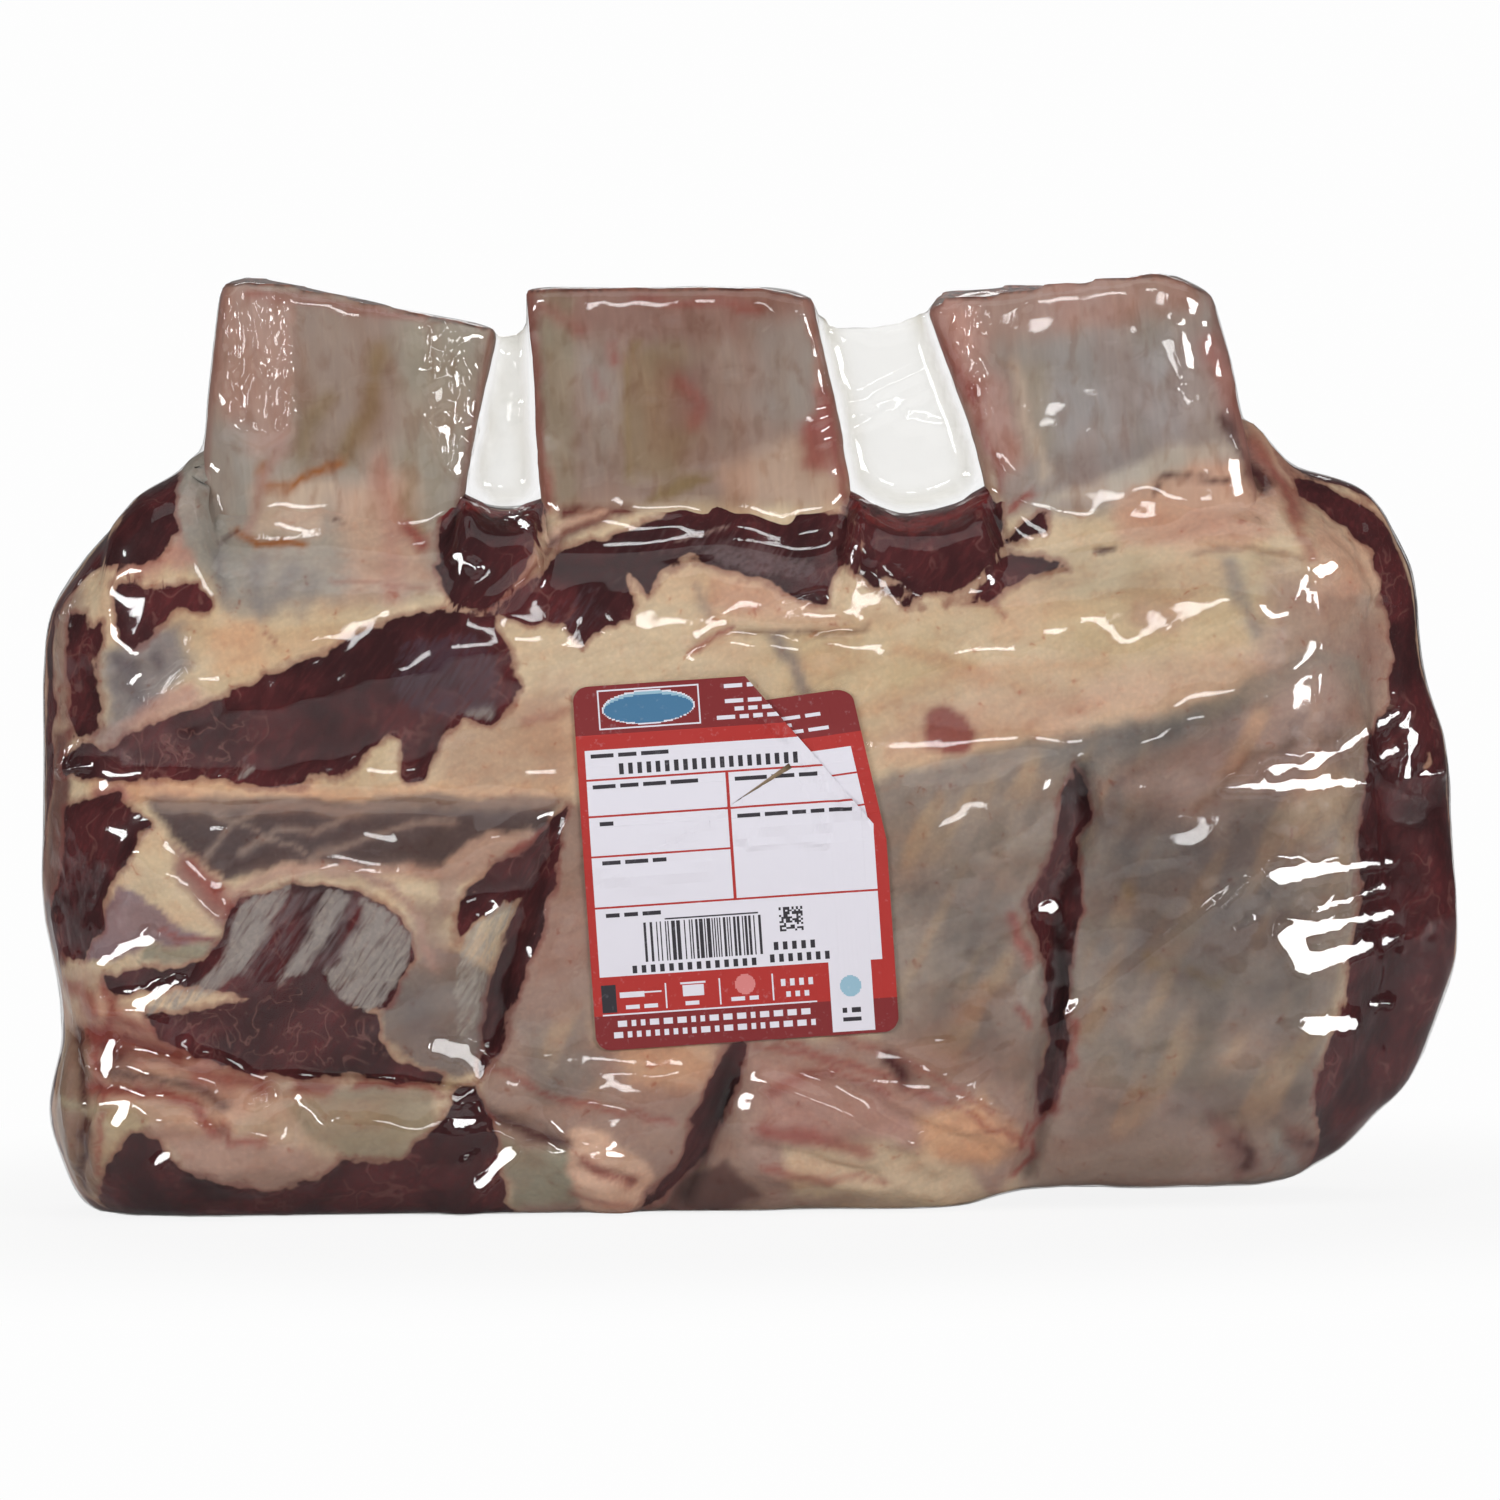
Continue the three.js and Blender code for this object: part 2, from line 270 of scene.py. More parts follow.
def floor_material():
    r = Recipe("pale_floor")
    near, far = FLOOR_SHADOW_REACH
    away = r.node("VectorMath", {0: r.place}, operation="LENGTH").outputs["Value"]
    fade = r.node("MapRange", {
        "Value": away, "From Min": near, "From Max": far, "To Min": FLOOR_GLOW},
        interpolation_type="SMOOTHSTEP")
    seen = r.node("LightPath").outputs["Is Camera Ray"]
    matt = r.node("BsdfDiffuse", {"Color": rgba(FLOOR_WHITE)}).outputs[0]
    white = r.node("Emission", {"Color": rgba(BACKDROP)}).outputs[0]
    return r.finish(r.shared(r.math("MULTIPLY", fade.outputs["Result"], seen), matt, white))


def room_light():
    """White for the camera, and dim for all that the light falls on."""
    r = Recipe("room", bpy.data.worlds)
    seen = r.node("LightPath").outputs["Is Camera Ray"]
    dim = r.node("Background", {"Strength": ROOM_LIGHT}).outputs[0]
    bright = r.node("Background", {"Color": rgba(BACKDROP)}).outputs[0]
    return r.finish(r.shared(seen, dim, bright), "OutputWorld")


def softbox(name, place, size, power):
    data = bpy.data.lights.new(name, "AREA")
    data.shape = "RECTANGLE"
    data.size, data.size_y = size
    data.energy = power
    light = placed(name, data)
    light.location = place
    light.rotation_euler = (LIT_POINT - Vector(place)).to_track_quat("-Z", "Y").to_euler()


make_floor().data.materials.append(floor_material())
bpy.context.scene.world = room_light()
for box in SOFTBOXES:
    softbox(*box)
bpy.context.scene.view_settings.view_transform = "Standard"
print(len(SOFTBOXES), "softboxes")

# %% [markdown]
# The CAD solids are loose triangles with flat faces. A copy is merged into a closed mesh and made
# again by Blender's voxel remesh, which lays an even net of small squares over the same form. Even
# squares can be smoothed, pushed in and out and coloured alike everywhere.
# The slab's copy gets a plug of rib in each channel, so that the meat closes round the bone. It
# stops a little above the meat, where the bone itself shows.

# %% Copies of the solids
PLUG_TOP = 147.0
SAME_POINT = 0.01


def merged_copy(name):
    bm = bmesh.new()
    bm.from_mesh(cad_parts[name].data)
    bmesh.ops.remove_doubles(bm, verts=bm.verts, dist=SAME_POINT * MM)
    return bm


def cut_above(bm, height):
    """Cuts a solid off above a height in mm and closes the cut."""
    everything = bm.verts[:] + bm.edges[:] + bm.faces[:]
    made = bmesh.ops.bisect_plane(
        bm, geom=everything, plane_co=(0, 0, height * MM), plane_no=(0, 0, 1), clear_outer=True)
    edges = [part for part in made["geom_cut"] if isinstance(part, bmesh.types.BMEdge)]
    bmesh.ops.edgeloop_fill(bm, edges=edges)


def whole_of(parts):
    """One bmesh that holds copies of several."""
    whole = bmesh.new()
    for bm in parts:
        passing = bpy.data.meshes.new("passing")
        bm.to_mesh(passing)
        whole.from_mesh(passing)
        bpy.data.meshes.remove(passing)
    return whole


def joined(name, parts):
    """One mesh object from several bmeshes, which are freed."""
    piece = piece_of(whole_of(parts), name)
    for bm in parts:
        bm.free()
    return piece


def copy_of(piece):
    bm = bmesh.new()
    bm.from_mesh(piece.data)
    return bm


def apply_modifier(piece, kind, **settings):
    modifier = piece.modifiers.new(kind.lower(), kind)
    for key, value in settings.items():
        setattr(modifier, key, value)
    shown = piece.evaluated_get(bpy.context.evaluated_depsgraph_get())
    mesh = bpy.data.meshes.new_from_object(shown)
    piece.modifiers.clear()
    spent = piece.data
    piece.data = mesh
    bpy.data.meshes.remove(spent)
    mesh.name = piece.name


def remesh(piece, voxel):
    apply_modifier(piece, "REMESH", mode="VOXEL", voxel_size=voxel * MM, use_smooth_shade=True)


def relax(piece, rounds, strength=0.5):
    apply_modifier(piece, "SMOOTH", factor=strength, iterations=rounds)


def places(piece):
    """Every vertex of a piece in mm, as rows of x, y, z."""
    flat = np.empty(len(piece.data.vertices) * 3)
    piece.data.vertices.foreach_get("co", flat)
    return flat.reshape(-1, 3) / MM


def normals(piece):
    flat = np.empty(len(piece.data.vertices) * 3)
    piece.data.vertices.foreach_get("normal", flat)
    return flat.reshape(-1, 3)


def move_to(piece, points):
    piece.data.vertices.foreach_set("co", (points * MM).ravel())
    piece.data.update()


SLAB_VOXEL = 1.85
SLAB_SMOOTHING = 14

rib_plugs = [merged_copy(name) for name in RIB_NAMES]
for plug in rib_plugs:
    cut_above(plug, PLUG_TOP)
meat = joined("meat", [merged_copy("meat_slab"), *rib_plugs])
remesh(meat, SLAB_VOXEL)
relax(meat, SLAB_SMOOTHING)
print("meat after remeshing:", len(meat.data.polygons), "faces")

# %% [markdown]
# The front of the slab is a map. Muscle, fat and membrane meet there along clear borders, so each
# muscle that shows is an outline of x, z points in millimetres. What matters for the skin is how far
# a point lies inside the nearest outline: that one number gives a crisp border, the redder rim along
# it and the slight hollow of the meat between its fat.

# %% Outlines of the muscles on the front
MUSCLES = {
    "strip": [
        (-136.5, 89), (-136, 93.5), (-132, 95), (-127.5, 93.5), (-122, 97.5), (-112, 100.5),
        (-104.5, 103), (-93.5, 109), (-83, 113), (-71, 119.5), (-61, 121), (-50, 119), (-47.5, 112),
        (-45.3, 105), (-48, 99.5), (-51, 98), (-57, 98.5), (-61, 95), (-62, 91), (-64, 87.5),
        (-68, 86.5), (-69, 90), (-68, 95), (-71, 96), (-76, 92), (-80, 88.5), (-87, 88.5),
        (-88, 86.5), (-94, 86), (-102, 87.5), (-109, 88), (-121.5, 87.5), (-133, 88)],
    "crown": [
        (-50, 120), (-46, 123), (-40, 127), (-36, 133), (-28, 134), (-21, 137), (-9, 141),
        (4, 142), (12, 140), (20, 139), (22.5, 131), (28, 125), (35, 120.5), (31, 121), (23, 126),
        (19, 129), (17.5, 126), (16, 121), (10, 122), (4, 126), (-5, 128), (-11, 131),
        (-17, 128), (-20, 122.5), (-24, 129), (-23, 118), (-29, 116.5), (-33, 113.5), (-36, 117.5),
        (-44, 117.5)],
    "patch at the left": [
        (-126.5, 126), (-121.5, 127.5), (-119, 126), (-109, 126.5), (-106, 123.5), (-107, 121),
        (-113.5, 122), (-115, 119), (-119, 116), (-122, 114), (-124, 116), (-125, 120)],
    "left side, above": [
        (-134, 121), (-131.5, 121), (-130.5, 118), (-128, 119), (-129, 112), (-128.5, 98),
        (-130.5, 96), (-135, 96), (-135.5, 103), (-135, 110)],
    "left side, below": [
        (-136, 81.5), (-127.5, 85.5), (-124, 85), (-124, 82.5), (-118, 79.5), (-121.5, 76.5),
        (-123, 73), (-127, 66.5), (-129, 59), (-132, 51), (-138, 53), (-138.5, 62.5), (-137, 73)],
    "between the stripes": [
        (-101, 64), (-90, 66.5), (-76, 66), (-70, 60), (-66, 54), (-72, 43), (-84, 43), (-100, 44),
        (-112, 48), (-106, 55)],
    "behind the cream patch": [(-128, 49), (-120, 51), (-112, 50.5), (-105, 53.5), (-104, 50),
                               (-109, 47), (-118, 46), (-126, 46)],
    "lower left": [
        (-121, 42), (-112, 41.5), (-100, 43.5), (-90, 48), (-85, 49), (-82, 44), (-74, 41),
        (-74, 36), (-70, 32), (-62, 29), (-62, 27), (-80, 29), (-100, 29.5), (-110, 33),
        (-117, 37)],
    "lower edge": [
        (-131, 3), (-128.5, 11), (-122.5, 18), (-118, 17.5), (-116, 12), (-105, 7.5), (-96, 6),
        (-86, 8), (-81, 12), (-69, 12), (-65, 17), (-62, 21), (-59, 26), (-55, 27), (-52, 22),
        (-50, 15), (-49, 3), (-44, -4), (-124, -6)],
    "right side": [
        (124, 93), (131, 96), (132, 84), (136, 80), (140, 74), (149, 63), (149, 43), (140, 25),
        (131, 13), (117, 0), (112, 6), (113, 15), (111, 23), (115, 33), (118, 40), (121, 60),
        (122, 78)],
    "under the left gap": [
        (-57, 149), (-61, 134), (-61, 126), (-57, 122), (-50, 121), (-44, 128), (-40, 137),
        (-41, 149)],
    "under the right gap": [
        (18, 152), (21, 138), (24, 129), (32, 124), (41, 123), (49, 129), (51, 137), (52, 149)],
    "left shoulder": [(-131, 130), (-124, 141), (-113, 149), (-112, 136), (-118, 131)],
    "right shoulder": [
        (108, 152), (120, 148), (129, 137), (135, 118), (139, 96), (134, 99), (131, 112),
        (129, 120), (128, 131), (120, 138), (110, 141)],
    "long slit": [
        (65, 88), (68, 83), (69, 79), (65, 74), (65, 60), (63, 42), (62, 33), (60, 21),
        (57, 19), (56, 25), (59, 34), (58, 48), (55, 61), (60, 71), (62, 80)],
    "forked slit": [
        (-36, 82), (-38, 72), (-41, 58), (-46, 45), (-50, 34), (-54, 28), (-53, 36), (-51, 49),
        (-47, 59), (-46, 64), (-54, 60), (-58, 55), (-58, 63), (-50, 69), (-42, 76)],
    "low slit": [
        (-5, 34), (-1, 34), (-3, 27), (-6, 18), (-10, 12), (-17, 5), (-23, 0), (-20, 5), (-14, 11),
        (-11, 21), (-7, 28)],
    "streak": [(40, 121), (45, 124), (50, 130), (57, 130), (64, 127.5), (54, 125.5), (48, 121)],
    "upper streak": [(50, 131), (54, 135), (60, 139), (60, 134), (55, 133)],
}
# Where fine pale veins cross the meat.
NETTED = [
    [(-119, 42), (-100, 44), (-88, 48), (-83, 43), (-74, 40), (-70, 33), (-80, 29), (-110, 33)],
    [(-134, 89), (-126, 93), (-106, 102), (-96, 100), (-98, 89), (-120, 88)],
]


def to_line(x, z, line):
    """Distance in mm of every point from a line of x, z points."""
    least = np.full(x.shape, np.inf)
    for (ax, az), (bx, bz) in zip(line, line[1:]):
        run = np.array([bx - ax, bz - az], float)
        share = ((x - ax) * run[0] + (z - az) * run[1]) / max(run @ run, TINY)
        share = np.clip(share, 0, 1)
        least = np.minimum(least, np.hypot(x - ax - share * run[0], z - az - share * run[1]))
    return least


def inside_by(x, z, outline):
    """How far inside an outline every point lies, in mm. Outside it the number is negative."""
    inside = np.zeros(x.shape, bool)
    for (ax, az), (bx, bz) in zip(outline, outline[1:] + outline[:1]):
        level = bz - az or 1.0
        inside ^= ((az > z) != (bz > z)) & (x < (bx - ax) * (z - az) / level + ax)
    distance = to_line(x, z, outline + outline[:1])
    return np.where(inside, distance, -distance)


def inside_any(x, z, outlines):
    """How far inside the nearest of some outlines every point lies, in mm."""
    return np.max([inside_by(x, z, outline) for outline in outlines], axis=0)


def muscle_map(x, z):
    return inside_any(x, z, MUSCLES.values())


print(len(MUSCLES), "outlines of muscle")

# %% [markdown]
# The relief of the front is pushed into the mesh, because folds, slits and lips have to show from
# the side and in the film above them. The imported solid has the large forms. Here come the finer
# ones: muscle lies a little lower than fat, the flap gets a lip, and the loose fat of the lower edge
# is thrown into folds. Under the label everything is pressed flat. The slits are cut deeper later,
# once the bag has been shaped, because the film spans them.

# %% Lines of the relief
# The upper edge of the flap, as x, z points.
FLAP_EDGE = [(-141, 83), (-20, 83), (28, 85), (66, 92), (100, 102), (141, 120)]
# Line, reach, depth.
SLITS = [
    ([(66, 87), (66.5, 76), (60, 62), (61, 43), (58, 23), (54, 8)], 2.2, 4.0),
    ([(-36, 80), (-43, 68), (-48, 53), (-52, 33)], 2.4, 3.6),
    ([(-3, 31), (-7, 20), (-14, 4)], 2.6, 4.5),
    ([(-134, 37), (-99, 29), (-60, 25)], 1.8, 2.0),
    ([(-62, 95), (-66, 86)], 1.6, 1.2),
]
# Line, reach, height. A height below zero is a furrow.
RIDGES = [
    ([(-129, 43), (-120, 41), (-112, 35)], 2.6, 2.0),
    ([(-130, 31), (-118, 30), (-106, 28)], 3.0, 1.8),
    ([(-131, 27), (-119, 26), (-110, 24), (-106, 18)], 1.3, -2.2),
    ([(-124, 35), (-114, 32), (-104, 27)], 1.1, -1.2),
    ([(-116, 21), (-104, 19), (-92, 15)], 3.2, 1.6),
    ([(-112, 12), (-100, 12), (-88, 11)], 3.6, 1.6),
    ([(-90, 22), (-76, 20), (-65, 16)], 4.5, 2.0),
    ([(-89, 28), (-59, 26), (-37, 14)], 1.2, -1.6),
    ([(-37, 14), (-30, 9), (-27, 2)], 4.6, 2.6),
    ([(-35, 11), (-28, 9), (-24, 7)], 1.0, -1.6),
    ([(-60, 20), (-57, 12), (-58, 2)], 5.0, 2.0),
    ([(-50, 30), (-34, 23), (-16, 19)], 0.9, -0.8),
    ([(-2, 37), (20, 30), (40, 21), (54, 12)], 1.2, 1.0),
    ([(4, 33), (22, 26), (42, 16)], 1.4, 1.0),
    ([(3, 27), (18, 20), (36, 10)], 1.9, 1.2),
    ([(12, 35), (30, 29), (50, 19)], 1.2, 0.9),
    ([(2, 10), (20, 7), (38, 4)], 2.4, 1.6),
    ([(0, 14), (10, 12), (24, 9)], 1.0, -1.3),
    ([(6, 30), (24, 23), (46, 12)], 0.9, -0.9),
    ([(-11, 112), (-3, 116), (4, 115), (22, 115)], 1.1, -1.3),
    ([(-50, 122), (-43, 127), (-37, 135), (-28, 138)], 1.5, 1.3),
    ([(22, 138), (24, 131), (33, 124)], 1.4, 1.0),
    ([(-97, 63), (-101, 54), (-110, 45)], 2.6, 0.9),
    ([(-82, 64), (-87, 55), (-92, 48)], 2.2, 0.9),
    ([(-73, 62), (-76, 52), (-80, 45)], 4.0, 1.0),
    ([(-102, 65), (-90, 69.5), (-76, 69.5), (-62, 68)], 1.5, 0.8),
    ([(-58, 71), (-52, 74), (-44, 75)], 3.0, 1.2),
    ([(-54, 60), (-55, 50), (-56, 40)], 2.6, 1.0),
    ([(-120, 73), (-112, 66), (-105, 60)], 3.4, 1.4),
    ([(-118, 55.5), (-104, 55)], 0.8, -0.8),
    ([(-137, 36), (-135, 20), (-137, 8)], 1.3, 1.6),
    ([(-134, 36), (-132, 20), (-134, 8)], 1.1, -1.4),
    ([(-131, 34), (-129, 22), (-130, 10)], 1.2, 1.2),
    ([(96, 18), (99, 13), (97, 7)], 1.4, -1.4),
    ([(104, 16), (107, 12), (105, 8)], 1.4, -1.2),
    ([(84, 144.5), (92, 144.5), (100, 143.5)], 0.9, -0.8),
    ([(90, 130.5), (98, 131), (109, 129.5)], 1.1, -0.9),
    ([(60, 121), (80, 125), (104, 119)], 6.0, 0.6),
    ([(14, 108), (32, 106), (52, 110)], 6.0, 0.6),
    ([(113, 132), (122, 130), (127, 124)], 5.0, 2.2),
    ([(-118, 104), (-108, 108)], 3.0, 1.0),
]
print(len(RIDGES), "ridges and furrows,", len(SLITS), "slits")

# %% Relief of the front
LABEL_CENTRE = (-2.7, 70.8)
LABEL_SIZE = (60.0, 72.0)
LABEL_GRIP = {"out to": 1.0, "eases over": 9.0}
LIP_HEIGHT = 0.8
LIP_REACH = 2.0
RIGHT_ROLL = {"from": 92.0, "width": 40.0, "bend": 0.0055}
MUSCLE_DEPTH = 0.6
MUSCLE_SHOULDER = 3.5


def under_label(x, z):
    """1 where the label presses on the bag, easing to 0 around it."""
    beside = np.abs(x - LABEL_CENTRE[0]) - LABEL_SIZE[0] / 2
    above = np.abs(z - LABEL_CENTRE[1]) - LABEL_SIZE[1] / 2
    off = np.maximum(beside, above) - LABEL_GRIP["out to"]
    return 1 - smooth(off / LABEL_GRIP["eases over"])


def flap_edge(x):
    stations = np.array(FLAP_EDGE, float)
    return np.interp(x, stations[:, 0], stations[:, 1])


def fine_relief(x, z):
    """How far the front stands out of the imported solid, in mm."""
    relief = LIP_HEIGHT * smooth((flap_edge(x) - z) / LIP_REACH + 0.5)
    relief = relief - MUSCLE_DEPTH * smooth(muscle_map(x, z) / MUSCLE_SHOULDER + 0.5)
    beyond = np.clip(x - RIGHT_ROLL["from"], 0, RIGHT_ROLL["width"])
    relief = relief - RIGHT_ROLL["bend"] * np.square(beyond)
    for line, reach, height in RIDGES:
        relief += height * bell(to_line(x, z, line) / reach)
    return relief * (1 - under_label(x, z))


print("the lip stands", LIP_HEIGHT, "mm proud")

# %% [markdown]
# All that is fitted to something else needs its distance from it. A tree of the faces finds the
# nearest place of a surface at once, and the normal there tells inside from outside. The squares of
# the front are halved, because the photograph shows it from close by.

# %% Distances and finer squares
FRONT_FACING = -0.35


def tree_of(parts):
    """The surface of several bmeshes, in a form that finds the nearest place quickly."""
    whole = whole_of(parts)
    tree = BVHTree.FromBMesh(whole)
    whole.free()
    return tree


def signed_distance(points, tree):
    """Distance in mm of every point from a closed surface, below zero inside, and the way out of it."""
    distance = np.empty(len(points))
    outward = np.empty((len(points), 3))
    for i, point in enumerate(points * MM):
        place, normal, _, _ = tree.find_nearest(point)
        distance[i] = (Vector(point) - place).dot(normal) / MM
        outward[i] = normal
    return distance, outward


def front_faces(bm):
    return [face for face in bm.faces if face.normal.y < FRONT_FACING]


def refine(piece, choose=front_faces):
    """Halves the squares that a function chooses, by itself those of the front."""
    bm = copy_of(piece)
    edges = list({edge for face in choose(bm) for edge in face.edges})
    bmesh.ops.subdivide_edges(bm, edges=edges, cuts=1, use_grid_fill=True)
    bm.to_mesh(piece.data)
    bm.free()


def on_front(outward, start=0.15, fade=0.5):
    """1 where a surface faces the viewer of the front, easing to 0 on its flanks."""
    return rising(-outward[:, 1], start, fade)


rib_tree = tree_of([merged_copy(name) for name in RIB_NAMES])
print("bones to measure from:", len(RIB_NAMES))

# %% [markdown]
# Where a rib leaves the meat there is no edge on the real thing: fat thins out over the bone's own
# skin. The meat is therefore laid a little outside the bone low down and drawn a little inside it
# higher up, along a border that wanders. The bone piece then shows through where the meat ends.
# In the gaps between the ribs the meat climbs to rounded crests, right up to the film between them.

# %% Raise the crests
WEB_DEPTH = -22.0
# Lines of x, z points along the tops of the crests.
CRESTS = [
    [(-58, 147), (-55.5, 145.5), (-51.5, 140), (-45.5, 140), (-41.5, 143), (-40, 146)],
    [(20, 149), (21, 147.5), (24.5, 141.5), (31, 138.5), (37, 139), (44, 141), (47.5, 145), (50, 149)],
    [(-128, 136), (-120.5, 144), (-118, 145.5), (-112, 149), (-109, 154), (-106, 157)],
]
CREST_ROUNDING = 24.0
CREST_RISE = 13.0
CREST_FOOT = 118.0
CREST_FOOT_FADE = 6.0
CREST_END_FADE = 2.0
CREST_UPWARD = 0.5
CREST_SMOOTHING = 4


def raise_crests(piece):
    """Lifts the meat to the rounded crests on which the film sits in the gaps and at the left."""
    points = places(piece)
    upward = smooth(normals(piece)[:, 2] / CREST_UPWARD)
    for line in CRESTS:
        x, y, z = points.T
        stations = np.array(line, float)
        crest = np.interp(x, stations[:, 0], stations[:, 1])
        crest -= np.square(y - WEB_DEPTH) / CREST_ROUNDING
        from_end = np.minimum(x - stations[0, 0], stations[-1, 0] - x)
        share = smooth(from_end / CREST_END_FADE)
        share *= rising(z, CREST_FOOT, CREST_FOOT_FADE)
        points[:, 2] += np.clip(crest - z, 0, CREST_RISE) * share * upward
    move_to(piece, points)


raise_crests(meat)
relax(meat, CREST_SMOOTHING)
refine(meat)
print("meat after refining:", len(meat.data.polygons), "faces")

# %% Shape the meat
RELIEF_BEND = 1.6
RELIEF_BEND_LENGTH = 9
# Height, length in mm and seed of the waves.
FRONT_WAVES = [(0.7, 21, 3), (0.2, 6.5, 4)]
LABEL_FLATTENS = 0.8
BORDER_WANDER = [(4.0, 14, 5)]
BORDER_HEIGHT = 141.0
BORDER_FADE = 10.0
FITTED_FROM = 111.0
COVER = 0.9
SINK = -1.6
RIB_SKIN_REACH = 3.5
RIB_SKIN_HOLD = 1.6
MEAT_OFF_FLOOR = 0.6


def carve_front(piece):
    points = places(piece)
    outward = normals(piece)
    x = points[:, 0] + RELIEF_BEND * ripple(points, RELIEF_BEND_LENGTH, seed=1)
    z = points[:, 2] + RELIEF_BEND * ripple(points, RELIEF_BEND_LENGTH, seed=2)
    front = on_front(outward)
    relief = fine_relief(x, z) * front
    free = 1 - LABEL_FLATTENS * under_label(x, z) * front
    relief += free * waves(points, FRONT_WAVES)
    move_to(piece, points + outward * relief[:, None])


def cut_slits(piece):
    points = places(piece)
    outward = normals(piece)
    x, z = points[:, 0], points[:, 2]
    depth = np.zeros(len(points))
    for line, reach, deep in SLITS:
        depth = np.maximum(depth, deep * bell(to_line(x, z, line) / reach))
    depth *= on_front(outward) * (1 - under_label(x, z))
    points[:, 1] += depth
    move_to(piece, points)


def stand_on_floor(piece, height):
    """Nothing reaches below this height, so that the piece stands on the floor."""
    points = places(piece)
    points[:, 2] = np.maximum(points[:, 2], height)
    move_to(piece, points)


def fit_to_ribs(piece, tree):
    points = places(piece)
    near = points[:, 2] > FITTED_FROM
    distance, outward = signed_distance(points[near], tree)
    border = BORDER_HEIGHT + waves(points[near], BORDER_WANDER)
    share = smooth((points[near, 2] - border) / BORDER_FADE + 0.5)
    wanted = blend(COVER, SINK, share)
    held = smooth((RIB_SKIN_REACH - np.abs(distance)) / RIB_SKIN_REACH * RIB_SKIN_HOLD)
    points[near] += outward * ((wanted - distance) * held)[:, None]
    move_to(piece, points)


carve_front(meat)
fit_to_ribs(meat, rib_tree)
stand_on_floor(meat, MEAT_OFF_FLOOR)
low, high = places(meat).min(axis=0), places(meat).max(axis=0)
print("meat in mm:", np.round(high - low, 1))

# %% [markdown]
# Next comes the colour between the muscles. Fat runs from cream over yellow to pink, the membranes
# of the flap are grey and brown, and veins and stains lie on top. Under the flap's lip at the right
# lies a band of painted shadow. All of it is painted as a butcher would describe it: areas with soft
# borders first, then strokes, each with its own colour and strength.
# Meat and ribs share this one painting, so that no seam shows where fat thins out over the bone.

# %% Colours of the tissues
def tint(red, green, blue):
    """A colour as the eye reads it, 0 to 255, as the share of light that a surface gives back."""
    share = np.array([red, green, blue]) / 255
    return np.where(share <= 0.04045, share / 12.92, ((share + 0.055) / 1.055) ** 2.4)


CREAM = tint(205, 183, 154)
YELLOW_FAT = tint(200, 177, 144)
ORANGE_FAT = tint(206, 164, 130)
PINK_FAT = tint(198, 162, 140)
RAW_PINK = tint(180, 134, 122)
GREEN_FAT = tint(166, 154, 130)
MEMBRANE = tint(147, 132, 121)
DARK_MEMBRANE = tint(116, 106, 102)
PINK_MEMBRANE = tint(158, 131, 119)
TAN = tint(148, 122, 108)
VEILED_MEAT = tint(88, 74, 73)
NET = tint(146, 126, 116)
SLATE = tint(108, 104, 110)
PALE_GREY = tint(148, 145, 139)
VEIL_GREY = tint(148, 139, 133)
LILAC = tint(139, 116, 119)
GREEN_GREY = tint(148, 140, 122)
RED_STAIN = tint(142, 66, 60)
DARK_BLOOD = tint(72, 36, 37)
BROWN = tint(118, 88, 72)
OLIVE = tint(132, 110, 78)
COPPER = tint(150, 92, 50)
BONE_GREY = tint(160, 149, 138)
BONE_BROWN = tint(148, 127, 116)
BONE_PINK = tint(168, 135, 124)
PALE_BONE = tint(192, 182, 168)
STRAND_FAT = tint(196, 156, 124)
SPOT_GREY = tint(86, 76, 82)
FOLD_BROWN = tint(122, 84, 78)
print("cream fat gives back", np.round(CREAM, 2), "of red, green and blue light")

